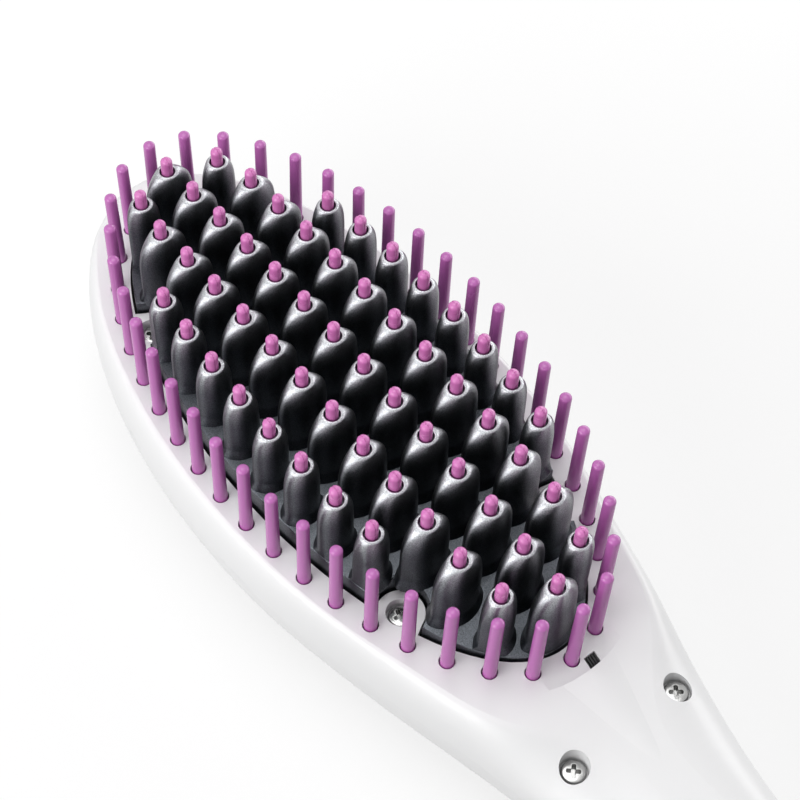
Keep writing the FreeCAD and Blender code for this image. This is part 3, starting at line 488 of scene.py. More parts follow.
def add(tree, kind, inputs=None, **settings):
    """Adds a shader node with its settings and the values of its inputs."""
    node = tree.nodes.new(kind)
    for name, value in settings.items():
        setattr(node, name, value)
    for name, value in (inputs or {}).items():
        node.inputs[name].default_value = value
    return node


def empty_material(name):
    """A material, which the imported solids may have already, with no nodes."""
    material = bpy.data.materials.get(name) or bpy.data.materials.new(name)
    material.use_nodes = True
    material.node_tree.nodes.clear()
    return material


def surface_group():
    """Soft clouds and fine grain on object coordinates, each with its own size in metres."""
    group = bpy.data.node_groups.new("surface_detail", "ShaderNodeTree")
    start, end = group.nodes.new("NodeGroupInput"), group.nodes.new("NodeGroupOutput")
    place = add(group, "ShaderNodeTexCoord")
    for name, detail in (("Cloud", 3.0), ("Grain", 2.0)):
        group.interface.new_socket(name + " Size", in_out="INPUT", socket_type="NodeSocketFloat")
        group.interface.new_socket(name, in_out="OUTPUT", socket_type="NodeSocketFloat")
        scale = add(group, "ShaderNodeMath", {0: 1.0}, operation="DIVIDE")
        noise = add(group, "ShaderNodeTexNoise", {"Detail": detail})
        wire(group, (start, name + " Size", scale, 1), (scale, 0, noise, "Scale"),
             (place, "Object", noise, "Vector"), (noise, "Fac", end, name))


def finish(slot, first, second, rough, cloud, grain, depth, sockets=None):
    """Fills a slot's material: two tones and a roughness range follow the clouds, the grain is the bump.

    Cloud, grain and depth are in millimetres; sockets holds other values of the shader.
    """
    tree = empty_material(slot).node_tree
    out, shader = add(tree, "ShaderNodeOutputMaterial"), add(tree, "ShaderNodeBsdfPrincipled", sockets)
    detail = add(tree, "ShaderNodeGroup", {"Cloud Size": cloud * MM, "Grain Size": grain * MM},
                 node_tree=bpy.data.node_groups["surface_detail"])
    tone = add(tree, "ShaderNodeMix", {"A": (*first, 1.0), "B": (*second, 1.0)}, data_type="RGBA")
    sheen = add(tree, "ShaderNodeMapRange", {"To Min": rough[0], "To Max": rough[1]})
    bump = add(tree, "ShaderNodeBump", {"Distance": depth * MM})
    wire(tree, (detail, "Cloud", tone, "Factor"), (detail, "Cloud", sheen, "Value"),
         (detail, "Grain", bump, "Height"), (tone, "Result", shader, "Base Color"),
         (sheen, "Result", shader, "Roughness"), (bump, "Normal", shader, "Normal"),
         (shader, "BSDF", out, "Surface"))


def painted_sheen(slot, attribute, tone, start=0.3, end=0.7, least=0.4):
    """Paints a tone where a mesh attribute rises to 1, in specks, as for the painted highlight on the
    fins.

    Clouds between start and end let through from least to all of it.
    """
    tree = bpy.data.materials[slot].node_tree
    shader = next(n for n in tree.nodes if n.type == "BSDF_PRINCIPLED")
    detail = next(n for n in tree.nodes if n.type == "GROUP")
    under = shader.inputs["Base Color"].links[0].from_node
    reach = add(tree, "ShaderNodeAttribute", attribute_name=attribute)
    specks = add(tree, "ShaderNodeMapRange", {"From Min": start, "From Max": end, "To Min": least})
    amount = add(tree, "ShaderNodeMath", operation="MULTIPLY")
    mix = add(tree, "ShaderNodeMix", {"B": (*tone, 1.0)}, data_type="RGBA")
    wire(tree, (detail, "Cloud", specks, "Value"), (reach, "Fac", amount, 0),
         (specks, "Result", amount, 1), (amount, 0, mix, "Factor"),
         (under, "Result", mix, "A"), (mix, "Result", shader, "Base Color"))


def shade(tone, factor):
    return tuple(min(1.0, channel * factor) for channel in tone)


METAL = {"Metallic": 1.0}
NYLON = {"IOR": 1.53}
# Looks of window, outlet and inner pieces, in the order that finish takes them
SMALL_FINISHES = {
    "window_glass": ((0.20, 0.20, 0.21), (0.23, 0.23, 0.24), (0.02, 0.05), 8.0, 0.4, 0.0003,
                     {"Transmission Weight": 1.0}),
    "vent_black": ((0.018, 0.018, 0.019), (0.03, 0.03, 0.031), (0.45, 0.6), 1.0, 0.1, 0.004),
    "dark_frame": ((0.02, 0.019, 0.018), (0.035, 0.033, 0.03), (0.5, 0.65), 6.0, 0.2, 0.008),
    "heater_ceramic": ((0.62, 0.60, 0.55), (0.72, 0.70, 0.66), (0.55, 0.7), 3.0, 0.15, 0.01),
    "mica": ((0.55, 0.43, 0.25), (0.68, 0.57, 0.38), (0.2, 0.4), 4.0, 0.5, 0.006),
    "probe_glass": ((0.35, 0.16, 0.06), (0.45, 0.22, 0.1), (0.08, 0.15), 2.0, 0.2, 0.002),
    "module_black": ((0.014, 0.014, 0.015), (0.022, 0.022, 0.023), (0.4, 0.55), 5.0, 0.25, 0.01),
    "board_green": ((0.02, 0.10, 0.04), (0.03, 0.14, 0.055), (0.3, 0.45), 4.0, 0.3, 0.01),
    "capacitor_sleeve": ((0.015, 0.02, 0.05), (0.025, 0.03, 0.07), (0.25, 0.35), 5.0, 0.3, 0.003),
    "display_grey": ((0.30, 0.31, 0.31), (0.36, 0.37, 0.37), (0.4, 0.5), 4.0, 0.2, 0.004),
    "switch_black": ((0.02, 0.02, 0.02), (0.03, 0.03, 0.03), (0.4, 0.55), 3.0, 0.15, 0.006),
    "plunger_white": ((0.72, 0.72, 0.70), (0.78, 0.78, 0.76), (0.35, 0.45), 2.0, 0.15, 0.004),
    "clamp_aluminium": ((0.7, 0.7, 0.71), (0.8, 0.8, 0.8), (0.25, 0.4), 5.0, 0.12, 0.006, METAL),
    "fuse_metal": ((0.6, 0.58, 0.54), (0.7, 0.68, 0.64), (0.2, 0.35), 2.0, 0.1, 0.004, METAL),
    "needle_steel": ((0.6, 0.6, 0.6), (0.68, 0.68, 0.68), (0.15, 0.25), 1.0, 0.06, 0.002, METAL),
    "contact_brass": ((0.72, 0.5, 0.2), (0.8, 0.58, 0.26), (0.2, 0.35), 2.0, 0.1, 0.004, METAL),
}


class HEATEDBRUSH_OT_finishes(bpy.types.Operator):
    """Makes the finish of every material slot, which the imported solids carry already"""
    bl_idname = "heatedbrush.finishes"
    bl_label = "Finishes"

    def execute(self, context):
        tones = context.scene.brush_colours
        surface_group()
        for slot, tone, low, high, *look in (
            ("white_shell", tones.shell, 0.985, 1.0, (0.30, 0.38), 18.0, 0.25, 0.002, {"IOR": 1.5}),
            ("dark_plate", tones.plate, 0.1, 1.9, (0.40, 0.23), 0.2, 0.14, 0.05, METAL),
            ("tip_nylon", tones.tip, 0.94, 1.06, (0.20, 0.32), 1.5, 0.2, 0.004, NYLON),
            ("bristle_nylon", tones.bristle, 0.95, 1.05, (0.20, 0.30), 4.0, 0.2, 0.002, NYLON),
            ("bright_screw", tones.screw, 0.85, 1.0, (0.16, 0.28), 0.8, 0.1, 0.004, METAL),
            ("panel_black", tones.panel, 1.0, 1.6, (0.06, 0.12), 12.0, 0.3, 0.0006, {"Coat Weight": 0.6}),
            ("button_grey", tones.button, 0.95, 1.05, (0.34, 0.44), 3.0, 0.12, 0.006),
            ("gland_white", tones.shell, 0.93, 0.97, (0.38, 0.5), 6.0, 0.2, 0.006),
        ):
            finish(slot, shade(tone, low), shade(tone, high), *look)
        # Painted highlight: a bright tone is laid over the upper fins and fades down them; mouths, fin
        # feet and plate keep the dark coat
        painted_sheen("dark_plate", "sheen", tones.sheen)
        for slot, look in SMALL_FINISHES.items():
            finish(slot, *look)
        return {"FINISHED"}


# Heater plate and fins

def fin_levels(plate, half_length, half_thickness, height, bore):
    """Rings of a fin from its bore to its foot, as (half thickness, half length, level, point)."""
    rings = [(bore, -plate.seat_depth), (bore, -plate.mouth_depth), (plate.mouth, -plate.mouth_depth)]
    rings += arc(plate.mouth + plate.lip, -plate.lip, plate.lip, 180, 90, steps=3)
    levels = [(radius, radius, level, 1.0) for radius, level in rings]
    bend = plate.collar - plate.mouth - plate.lip
    depths = [bend * (1 - math.cos(math.radians(a))) for a in range(15, 91, 15)]
    ways = [(i / SIDE_RINGS) ** RING_CROWDING for i in range(1, SIDE_RINGS + 1)]
    depths += [bend + (height - bend) * way for way in ways]
    for depth in depths:
        left = 1 - depth / height
        edge = max(0.0, 1 - depth / bend)
        radius = plate.collar - bend * (1 - math.sqrt(1 - edge ** 2))
        along = radius + (half_length - plate.collar) * (1 - left ** plate.swell_along)
        across = radius + (half_thickness - plate.collar) * (1 - left ** plate.swell_across)
        into = max(0.0, 1 - (height - depth) / plate.foot)
        flare = plate.foot * (1 - math.sqrt(1 - into ** 2))
        point = 1 + (plate.point - 1) * (1 - left ** POINT_SWELL)
        levels.append((across + flare, along + flare, -depth, point))
    across, along, level, point = levels[-1]
    levels.append((across, along, level - plate.foot, point))
    return levels


def fin(plate, half_length, half_thickness, height, bore, steps=40):
    """Fin with its rim at level 0: a rounded leaf that closes over into a round collar."""
    levels = fin_levels(plate, half_length, half_thickness, height, bore)
    bm = bmesh.new()
    rank = bm.verts.layers.int.new("ring")
    sheen = bm.verts.layers.float.new("sheen")
    bmesh.ops.create_circle(bm, cap_ends=True, segments=steps, radius=1.0)
    edges = list(bm.edges)
    for i in range(1, len(levels)):
        made = bmesh.ops.extrude_edge_only(bm, edges=edges)["geom"]
        edges = [e for e in made if isinstance(e, bmesh.types.BMEdge)]
        for vert in made:
            if isinstance(vert, bmesh.types.BMVert):
                vert[rank] = i
    bmesh.ops.edgeloop_fill(bm, edges=edges)
    for vert in bm.verts:
        across, along, level, point = levels[vert[rank]]
        x, y = vert.co.x, vert.co.y
        vert.co = (across * x * abs(x) ** (point - 1), along * y, level)
        # Painted highlight: below the mouth each ring takes a share of the bright tone that grows towards
        # the rim, so the fin's top is lighter and its foot and mouth stay dark
        if vert[rank] > LAST_INNER_RING:
            vert[sheen] = max(0.0, 1 + level / (plate.sheen * height)) ** 2
    return outward(bm)


def notch(plate, x, y, low, high):
    """Cutter for the notch that a cover tongue reaches into."""
    outline = arc(0.0, 0.0, plate.notch, 90, 270, NOTCH_STEPS)
    root = plate.notch + plate.notch_flare
    outline += [(plate.notch_reach, -root), (plate.notch_reach, root)]
    lean = plate.notch_lean if x > 0 else math.pi - plate.notch_lean
    place = Matrix.Translation((x, y, 0)) @ Matrix.Rotation(math.copysign(lean, y), 4, "Z")
    return moved(extruded(outline, low, high), place)


def plate_base(plate, steps=160, strip=2.0 * MM):
    """Oval base with four notches, a rounded rim and an arched top; level 0 is the cover's face."""
    bm = extruded(oval(HALF_LENGTH, HALF_WIDTH, steps)[:-1], -plate.face, plate.top)
    room = plate.top + plate.face
    for side_x in (-1, 1):
        for side_y in (-1, 1):
            cutter = notch(plate, side_x * plate.notch_x, side_y * plate.notch_y, -room, room)
            bm = carved(bm, cutter)
    rounded(bm, rim_edges(bm, plate.top), plate.rim, segments=4)
    strips = int(2 * HALF_LENGTH / strip)
    for i in range(1, strips):
        geometry = [*bm.verts, *bm.edges, *bm.faces]
        bmesh.ops.bisect_plane(bm, geom=geometry, dist=MERGE, plane_no=(1, 0, 0),
                               plane_co=(-HALF_LENGTH + 2 * HALF_LENGTH * i / strips, 0, 0))
    for vert in bm.verts:
        if vert.co.z > 0:
            vert.co.z -= sag(plate, vert.co.x)
    return bm


class HEATEDBRUSH_OT_heater_plate(bpy.types.Operator):
    """Cast plate with its arched top, notched rim and crowd of leaf-shaped fins"""
    bl_idname = "heatedbrush.heater_plate"
    bl_label = "Heater plate"

    def execute(self, context):
        plate = context.scene.brush_plate
        bore = context.scene.brush_tips.radius
        base = moved(plate_base(plate), Matrix.Translation((HEAD_X, 0, face_level(plate))))
        kinds = {}
        for placing, short, low in fin_placings(plate):
            kinds.setdefault((short, low), []).append(placing)
        fins = []
        for (short, low), placings in kinds.items():
            length = plate.short_length if short else plate.length
            thickness = plate.short_thickness if short else plate.thickness
            height = plate.height - (plate.drop if low else 0.0)
            fins.append(copies(fin(plate, length, thickness, height, bore), placings))
        fins = joined(*fins)
        self.keep_inside(plate, fins)
        piece("heater_plate_cast", joined(base, fins), "dark_plate", ROOT, "heater_plate")
        return {"FINISHED"}

    def keep_inside(self, plate, bm):
        """Draws fin feet that pass the plate's edge back to it."""
        half_length, half_width = HALF_LENGTH - plate.lean_in, HALF_WIDTH - plate.lean_in
        for vert in bm.verts:
            reach = math.hypot((vert.co.x - HEAD_X) / half_length, vert.co.y / half_width)
            if reach > 1:
                vert.co.x = HEAD_X + (vert.co.x - HEAD_X) / reach
                vert.co.y /= reach


class HEATEDBRUSH_OT_cool_tips(bpy.types.Operator):
    """Nylon tips seated in the fins, each with a parting groove over its dome"""
    bl_idname = "heatedbrush.cool_tips"
    bl_label = "Cool tips"

    def execute(self, context):
        plate = context.scene.brush_plate
        tips = context.scene.brush_tips
        profile = [(0.0, -plate.seat_depth), (tips.radius, -plate.seat_depth), (tips.radius, 0.0)]
        profile += domed(tips.radius, tips.proud, tips.blunt)
        tip = turned(profile, steps=32)
        for vert in tip.verts:
            in_groove = abs(vert.co.y) < MERGE * 10 and vert.co.length > tips.groove
            if in_groove and vert.co.z > -plate.mouth_depth:
                middle = Vector((0.0, 0.0, min(vert.co.z, tips.proud)))
                vert.co -= (vert.co - middle).normalized() * tips.groove
        placings = [placing for placing, _, _ in fin_placings(plate)]
        piece("cool_tip_pins", copies(tip, placings), "tip_nylon", ROOT, "cool_tips",
              sharp=math.radians(24))
        return {"FINISHED"}


class HEATEDBRUSH_OT_bristles(bpy.types.Operator):
    """Ring of guard bristles on its oval carrier"""
    bl_idname = "heatedbrush.bristles"
    bl_label = "Guard bristles"

    def execute(self, context):
        ring = context.scene.brush_bristles
        low, high = RING_LOW.z, RING_HIGH.z
        profile = [(0.0, low), (ring.foot, low)]
        profile += domed(ring.tip, high - ring.blunt * ring.tip, ring.blunt)
        bristle = turned(profile, steps=24)
        chance = random.Random(BRISTLE_SEED)
        placings = []
        for x, y in self.places(ring):
            turn = chance.uniform(0, ring.lean)
            axis = (chance.uniform(-1, 1), chance.uniform(-1, 1), 0)
            foot = Matrix.Translation((HEAD_X + x, y, low)) @ Matrix.Rotation(turn, 4, axis)
            placings.append(foot @ Matrix.Translation((0, 0, -low)))
        bm = joined(self.carrier(ring, low), copies(bristle, placings))
        piece("guard_bristles", bm, "bristle_nylon", ROOT, "bristle_ring")
        return {"FINISHED"}

    def places(self, ring, steps=2000):
        """Evenly spaced places along the bristle oval, starting on the axis at the neck."""
        line = oval(ring.half_length, ring.half_width, steps)
        along = list(accumulate(map(math.dist, line, line[1:]), initial=0.0))
        wanted = [k * along[-1] / ring.number for k in range(ring.number)]
        return [line[bisect_left(along, distance, 1) - 1] for distance in wanted]

    def carrier(self, ring, low):
        """Flat oval band that the bristles grow from."""
        bm = bmesh.new()
        for grow in (ring.carrier_out, -ring.carrier_in):
            scale = Matrix.Diagonal((ring.half_length + grow, ring.half_width + grow, 1, 1))
            place = Matrix.Translation((HEAD_X, 0, low)) @ scale
            bmesh.ops.create_circle(bm, segments=120, radius=1.0, matrix=place)
        faces = bmesh.ops.bridge_loops(bm, edges=bm.edges)["faces"]
        raised(bm, faces, ring.carrier)
        return outward(bm)


# Screws

def cross_screw(screws, shank_length):
    """Pan-head screw with its seat at level 0 and a cross recess in its head."""
    bend = screws.head - screws.flat
    fall = HEAD_EDGE * screws.height
    profile = [(0.0, screws.height), (screws.flat, screws.height)]
    for turn in (math.radians(a) for a in (22, 45, 68, 90)):
        profile.append((screws.flat + bend * math.sin(turn), screws.height - fall * (1 - math.cos(turn))))
    profile += [(screws.head, 0.0), (screws.shank, 0.0)]
    profile += [(screws.shank, -shank_length), (0.0, -shank_length)]
    bm = turned(profile, steps=40)
    low, high = screws.height - screws.depth, screws.height + screws.depth
    for turn in (0.0, math.radians(90)):
        bar = block(2 * screws.recess, screws.arm, low, high)
        foot = [v for v in bar.verts if v.co.z < screws.height]
        bmesh.ops.scale(bar, vec=RECESS_TAPER, verts=foot)
        rounded(bar, upright_edges(bar), RECESS_ROUND * screws.arm, segments=2)
        bm = carved(bm, moved(bar, Matrix.Rotation(turn, 4, "Z")))
    return bm


class HEATEDBRUSH_OT_cover_screws(bpy.types.Operator):
    """Cross-head screws in the four tongues and on the neck"""
    bl_idname = "heatedbrush.cover_screws"
    bl_label = "Cover screws"

    def execute(self, context):
        screws = context.scene.brush_screws
        chance = random.Random(SCREW_SEED)
        for node in ("head_screws", "neck_screws"):
            low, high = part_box(node)
            seat = high.z - screws.height
            length, _, middle, _ = plan(low, high)
            # A box little longer than a head holds one pair
            single = length < 3 * screws.head
            placings = []
            for x in [middle] if single else [low.x + screws.head, high.x - screws.head]:
                for y in (low.y + screws.head, high.y - screws.head):
                    turn = Matrix.Rotation(chance.uniform(0, math.pi / 2), 4, "Z")
                    placings.append(Matrix.Translation((x, y, seat)) @ turn)
            template = cross_screw(screws, seat - low.z)
            piece(node + "_crossed", copies(template, placings), "bright_screw", ROOT, node,
                  sharp=math.radians(30))
        return {"FINISHED"}


# Ion outlet

class HEATEDBRUSH_OT_ion_outlet(bpy.types.Operator):
    """Louvred ion outlet whose face falls with the hollow in the neck"""
    bl_idname = "heatedbrush.ion_outlet"
    bl_label = "Ion outlet"

    def execute(self, context):
        sizes = context.scene.brush_controls
        low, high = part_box("ion_vent")
        length, width, x, y = plan(low, high)
        foot = high.z - sizes.outlet_fall - 2 * sizes.rib_depth
        parts = [block(length, width, foot, high.z - sizes.rib_depth, x, y)]
        step = width / (2 * sizes.ribs - 1)
        for i in range(sizes.ribs):
            rib = block(length, step, foot, high.z, x, low.y + (2 * i + 0.5) * step)
            rounded(rib, rim_edges(rib, high.z), RIB_ROUND * step, segments=2)
            parts.append(rib)
        bm = joined(*parts)
        for vert in bm.verts:
            if vert.co.z > foot + MERGE:
                vert.co.z -= sizes.outlet_fall * (vert.co.x - low.x) / length
        piece("ion_outlet_louvre", bm, "vent_black", ROOT, "ion_vent")
        return {"FINISHED"}


# Controls on the back of the handle

def slot_outline(low, high, steps=12):
    """Outline of a slot with round ends that fills a box in plan."""
    radius = (high.y - low.y) / 2
    middle = (high.y + low.y) / 2
    outline = arc(high.x - radius, middle, radius, -90, 90, steps)
    return outline + arc(low.x + radius, middle, radius, 90, 270, steps)


class HEATEDBRUSH_OT_control_panel(bpy.types.Operator):
    """Gloss panel with its window, an unlit display behind it, and openings for the buttons"""
    bl_idname = "heatedbrush.control_panel"
    bl_label = "Control panel"

    def execute(self, context):
        sizes = context.scene.brush_controls
        low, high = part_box("control_panel")
        window_low, window_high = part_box("display_window")
        length, width, x, y = plan(window_low, window_high)
        gap = 2 * sizes.window_gap
        foot, head = low.z - sizes.lip, high.z + sizes.lip
        bm = extruded(slot_outline(low, high), low.z, high.z)
        bm = carved(bm, block(length + gap, width + gap, foot, head, x, y))
        for node in ("plus_button", "minus_button", "power_button"):
            button_low, button_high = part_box(node)
            radius = (button_high.x - button_low.x) / 2 - sizes.lip + sizes.button_gap
            hole = turned([(0.0, foot), (radius, foot), (radius, head), (0.0, head)], steps=48)
            middle = (button_low + button_high) / 2
            bm = carved(bm, moved(hole, Matrix.Translation((middle.x, middle.y, 0))))
        rounded(bm, rim_edges(bm, low.z), sizes.panel_edge, segments=3)
        piece("control_panel_face", bm, "panel_black", ROOT, "control_panel")

        window = block(length, width, window_low.z, window_high.z, x, y)
        rounded(window, upright_edges(window), 2 * sizes.window_edge, segments=4)
        rounded(window, rim_edges(window, window_low.z), sizes.window_edge, segments=2)
        piece("display_window_pane", window, "window_glass", ROOT, "display_window")
        self.digits(sizes, x, y)
        return {"FINISHED"}

    def digits(self, sizes, x, y):
        """Three unlit seven-stroke digits on the display's face."""
        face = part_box("display_module")[0].z
        half, stroke = sizes.digit / 2, sizes.stroke
        side = DIGIT_HALF_WIDTH * sizes.digit
        proud = DIGIT_PROUD * stroke
        bars = [(2 * side - stroke, stroke, 0.0, level) for level in (-half, 0.0, half)]
        bars += [(stroke, half - stroke, across, level)
                 for level in (-half / 2, half / 2) for across in (-side, side)]
        parts = []
        for step in row(3, sizes.digit_step):
            for length, width, across, level in bars:
                bar = block(length, width, face - proud, face + proud, x + step + across, y + level)
                rounded(bar, upright_edges(bar), DIGIT_ROUND * stroke, segments=2)
                parts.append(bar)
        piece("display_digits", joined(*parts), "switch_black", ROOT)


class HEATEDBRUSH_OT_buttons(bpy.types.Operator):
    """Power, plus and minus buttons with sunk faces and raised signs"""
    bl_idname = "heatedbrush.buttons"
    bl_label = "Buttons"

    def execute(self, context):
        sizes = context.scene.brush_controls
        for name in ("power", "plus", "minus"):
            low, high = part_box(name + "_button")
            length, _, x, y = plan(low, high)
            radius = length / 2 - sizes.lip
            flat = radius - sizes.dish_edge
            floor = low.z + sizes.dish
            profile = [(0.0, floor), (flat - sizes.dish, floor)]
            profile += arc(flat - sizes.dish, low.z, sizes.dish, 90, 0, steps=4)[1:]
            profile += arc(radius - sizes.edge, low.z + sizes.edge, sizes.edge, 270, 360, steps=5)
            shoulder, lip = high.z - sizes.lip_height, radius + sizes.lip
            profile += [(radius, shoulder), (lip, shoulder), (lip, high.z), (0.0, high.z)]
            place = Matrix.Translation((x, y, 0.0))
            cap = moved(turned(profile, steps=56), place)
            piece(name + "_button_cap", cap, "button_grey", name + "_key", name + "_button")
            sign = moved(self.sign(sizes, name, floor), place)
            piece(name + "_sign", sign, "gland_white", name + "_key")
        return {"FINISHED"}

    def sign(self, sizes, name, floor):
        """Raised sign that reads along the handle: a bar, a cross, or a broken ring with a bar."""
        low, high = floor - sizes.mark_proud, floor + sizes.mark_proud
        reach, half = sizes.mark_reach, sizes.mark / 2
        if name == "minus":
            return block(2 * reach, sizes.mark, low, high)
        if name == "plus":
            arm = [(half, half), (half, reach), (-half, reach)]
            quarters = ((1, 0, 0, 1), (0, -1, 1, 0), (-1, 0, 0, -1), (0, 1, -1, 0))
            cross = [(a * x + b * y, c * x + d * y) for a, b, c, d in quarters for x, y in arm]
            return extruded(cross, low, high)
        bm = bmesh.new()
        inner, outer = half - reach, -half - reach
        corners = ((inner, low), (outer, low), (outer, high), (inner, high))
        section = [bm.faces.new([bm.verts.new((0.0, y, z)) for y, z in corners])]
        moved(bm, Matrix.Rotation(POWER_GAP, 4, "Z"))
        bmesh.ops.spin(bm, geom=section, cent=(0, 0, 0), axis=(0, 0, 1), dvec=(0, 0, 0),
                       angle=2 * (math.pi - POWER_GAP), steps=32, use_merge=False)
        return joined(outward(bm), block(sizes.mark, reach, low, high, 0.0, -POWER_BAR * reach))


class HEATEDBRUSH_OT_cord_gland(bpy.types.Operator):
    """Grooved gland that the cord enters by, turning in the end of the handle"""
    bl_idname = "heatedbrush.cord_gland"
    bl_label = "Cord gland"

    def execute(self, context):
        sizes = context.scene.brush_controls
        low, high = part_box("swivel_bush")
        nose = high.x - sizes.nose
        wall = nose - sizes.neck_length
        flange = wall - sizes.flange_width
        bend = sizes.groove
        profile = [(sizes.shaft_bore, low.x), (sizes.shaft, low.x), (sizes.shaft, flange)]
        profile += [(sizes.flange, flange), (sizes.flange, wall), (sizes.neck, wall)]
        profile += [(sizes.neck, nose), (sizes.nose_radius - bend, nose)]
        profile += arc(sizes.nose_radius - bend, nose + bend, bend, 270, 360, steps=4)[1:]
        profile += self.grooved_side(sizes, nose + bend, high.x - bend)
        profile += arc(sizes.nose_end - bend, high.x - bend, bend, 0, 90, steps=4)
        profile += arc(sizes.cord_bore + bend, high.x - bend, bend, 90, 180, steps=4)
        profile += [(sizes.cord_bore, flange), (sizes.shaft_bore, flange), (sizes.shaft_bore, low.x)]
        middle = (low + high) / 2
        place = Matrix.Translation((0, middle.y, middle.z)) @ Matrix.Rotation(math.radians(90), 4, "Y")
        bm = outward(moved(turned(profile, steps=56), place))
        piece("cord_gland_grooved", bm, "gland_white", "cord_swivel", "swivel_bush",
              sharp=math.radians(50))
        return {"FINISHED"}

    def grooved_side(self, sizes, start, end, steps_each=12):
        """Tapered side with evenly spaced round grooves."""
        steps = steps_each * sizes.grooves
        points = []
        for i in range(1, steps):
            way = i / steps
            wave = max(0.0, math.sin(2 * math.pi * sizes.grooves * way - math.pi / 2))
            taper = way * (sizes.nose_end - sizes.nose_radius)
            radius = sizes.nose_radius + taper - sizes.groove * wave
            points.append((radius, start + way * (end - start)))
        return points


# Stage

def area_lamp(name, place, aim, width, height, radiance):
    """Soft box that looks at a point; its power follows from the radiance of its face."""
    lamp = bpy.data.lights.new(name, "AREA")
    lamp.shape = "RECTANGLE"
    lamp.size, lamp.size_y = width, height
    lamp.energy = radiance * math.pi * width * height
    obj = linked(name, lamp)
    obj.location = place
    obj.rotation_euler = (place - aim).to_track_quat("Z", "Y").to_euler()


def seen_directly(tree):
    """A node that gives 1 for rays from the camera and for those seen in gloss and glass."""
    path = add(tree, "ShaderNodeLightPath")
    glossy, any_ray = (add(tree, "ShaderNodeMath", operation="MAXIMUM") for _ in range(2))
    wire(tree, (path, "Is Camera Ray", glossy, 0), (path, "Is Glossy Ray", glossy, 1),
         (glossy, 0, any_ray, 0), (path, "Is Transmission Ray", any_ray, 1))
    return any_ray


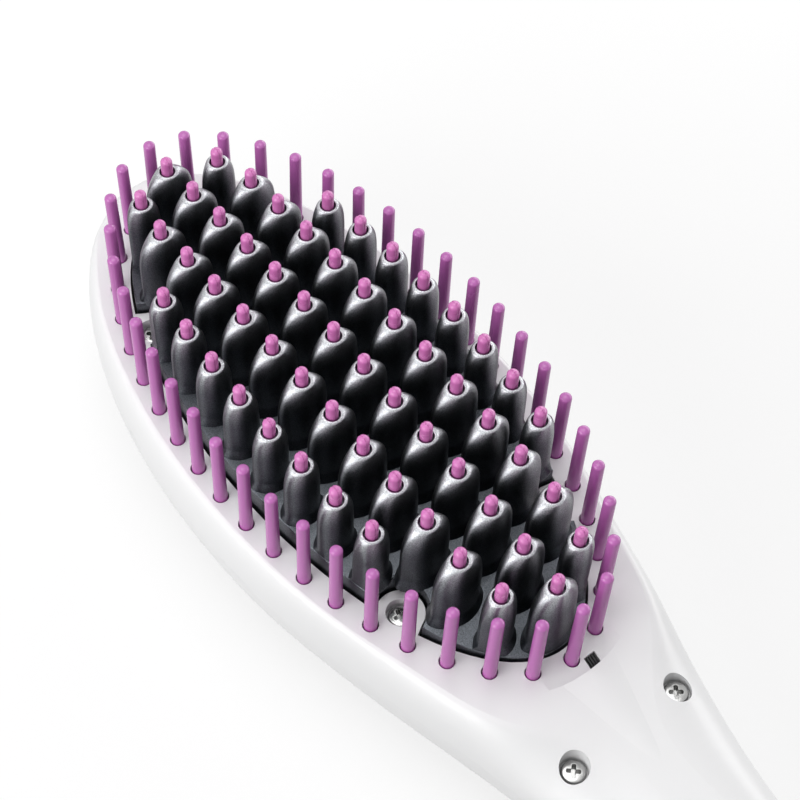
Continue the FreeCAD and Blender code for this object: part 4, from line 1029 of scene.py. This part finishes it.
class HEATEDBRUSH_OT_stage(bpy.types.Operator):
    """White floor, soft boxes and the camera"""
    bl_idname = "heatedbrush.stage"
    bl_label = "Stage"

    def execute(self, context):
        stage = context.scene.brush_stage
        self.floor(stage)
        self.world(context.scene)
        self.lamps()
        self.camera(context.scene, stage)
        context.scene.view_settings.view_transform = "Standard"
        return {"FINISHED"}

    def floor(self, stage, tone=0.3, near=(0.1, 0.68), far=(0.7, 0.92)):
        """Pale floor, clear from below, that looks whiter far off.

        Near and far are each a distance and the floor's own light there.
        """
        bm = bmesh.new()
        bmesh.ops.create_grid(bm, x_segments=1, y_segments=1, size=stage.floor / 2)
        bmesh.ops.translate(bm, vec=(0, 0, CAD_LOW.z), verts=bm.verts)
        material = empty_material("floor")
        tree = material.node_tree
        out, both = add(tree, "ShaderNodeOutputMaterial"), add(tree, "ShaderNodeAddShader")
        glow = add(tree, "ShaderNodeEmission")
        diffuse = add(tree, "ShaderNodeBsdfDiffuse", {"Color": (tone, tone, tone, 1.0)})
        place = add(tree, "ShaderNodeTexCoord")
        distance = add(tree, "ShaderNodeVectorMath", operation="LENGTH")
        whiter = add(tree, "ShaderNodeMapRange", {"From Min": near[0], "From Max": far[0],
                                                  "To Min": near[1], "To Max": far[1]})
        level = add(tree, "ShaderNodeMath", operation="MULTIPLY")
        side, sides = add(tree, "ShaderNodeNewGeometry"), add(tree, "ShaderNodeMixShader")
        clear = add(tree, "ShaderNodeBsdfTransparent")
        wire(tree, (place, "Object", distance, 0), (distance, "Value", whiter, "Value"),
             (seen_directly(tree), 0, level, 0), (whiter, "Result", level, 1),
             (level, 0, glow, "Strength"), (diffuse, 0, both, 0), (glow, 0, both, 1),
             (side, "Backfacing", sides, "Fac"), (both, 0, sides, 1), (clear, 0, sides, 2),
             (sides, 0, out, "Surface"))
        floor = linked("floor", mesh_of(bm, "floor"))
        floor.data.materials.append(material)

    def world(self, scene, ambient=0.31):
        world = bpy.data.worlds.new("studio")
        scene.world = world
        world.use_nodes = True
        tree = world.node_tree
        background = tree.nodes["Background"]
        background.inputs["Color"].default_value = (1.0, 1.0, 1.0, 1.0)
        level = add(tree, "ShaderNodeMapRange", {"To Min": ambient, "To Max": 1.0})
        wire(tree, (seen_directly(tree), 0, level, "Value"), (level, "Result", background, "Strength"))

    def lamps(self):
        aim = Vector((HEAD_X, 0.0, PLATE_HIGH.z))
        for name, direction, distance, width, height, radiance in (
            ("left_box", (-0.02, -0.92, 0.39), 0.42, 0.36, 0.32, 3.7),
            ("top_box", (-0.2, 0.0, 0.98), 0.8, 0.6, 0.6, 2.6),
            ("far_strip", (-0.1, 0.98, 0.18), 0.7, 1.1, 0.26, 3.6),
        ):
            place = aim + Vector(direction).normalized() * distance
            area_lamp(name, place, aim, width, height, radiance)

    def camera(self, scene, stage):
        lens = bpy.data.cameras.new("camera")
        lens.sensor_width = SENSOR
        lens.lens = stage.lens
        lens.clip_start = NEAREST
        turn = Matrix.Rotation(stage.azimuth, 4, "Z")
        tilt = Matrix.Rotation(math.pi / 2 - stage.elevation, 4, "X")
        roll = Matrix.Rotation(stage.roll, 4, "Z")
        camera = linked("camera", lens)
        camera.matrix_world = Matrix.Translation(stage.eye) @ turn @ tilt @ roll
        scene.camera = camera


OPERATORS = (
    HEATEDBRUSH_OT_finishes,
    HEATEDBRUSH_OT_heater_plate,
    HEATEDBRUSH_OT_cool_tips,
    HEATEDBRUSH_OT_bristles,
    HEATEDBRUSH_OT_cover_screws,
    HEATEDBRUSH_OT_ion_outlet,
    HEATEDBRUSH_OT_control_panel,
    HEATEDBRUSH_OT_buttons,
    HEATEDBRUSH_OT_cord_gland,
    HEATEDBRUSH_OT_stage,
)


class HEATEDBRUSH_PT_panel(bpy.types.Panel):
    """Lists the steps that build the brush"""
    bl_label = "Heated brush"
    bl_idname = "HEATEDBRUSH_PT_panel"
    bl_space_type = "VIEW_3D"
    bl_region_type = "UI"
    bl_category = "Brush"

    def draw(self, context):
        for step in OPERATORS:
            self.layout.operator(step.bl_idname)


CLASSES = (*GROUPS.values(), *OPERATORS, HEATEDBRUSH_PT_panel)


def register():
    for cls in CLASSES:
        bpy.utils.register_class(cls)
    for name, group in GROUPS.items():
        setattr(bpy.types.Scene, name, PointerProperty(type=group))


def unregister():
    for name in GROUPS:
        delattr(bpy.types.Scene, name)
    for cls in reversed(CLASSES):
        bpy.utils.unregister_class(cls)


def main():
    register()
    bpy.ops.heatedbrush.finishes()
    bpy.ops.heatedbrush.heater_plate()
    bpy.ops.heatedbrush.cool_tips()
    bpy.ops.heatedbrush.bristles()
    bpy.ops.heatedbrush.cover_screws()
    bpy.ops.heatedbrush.ion_outlet()
    bpy.ops.heatedbrush.control_panel()
    bpy.ops.heatedbrush.buttons()
    bpy.ops.heatedbrush.cord_gland()
    bpy.ops.heatedbrush.stage()


if __name__ == "__main__":
    main()
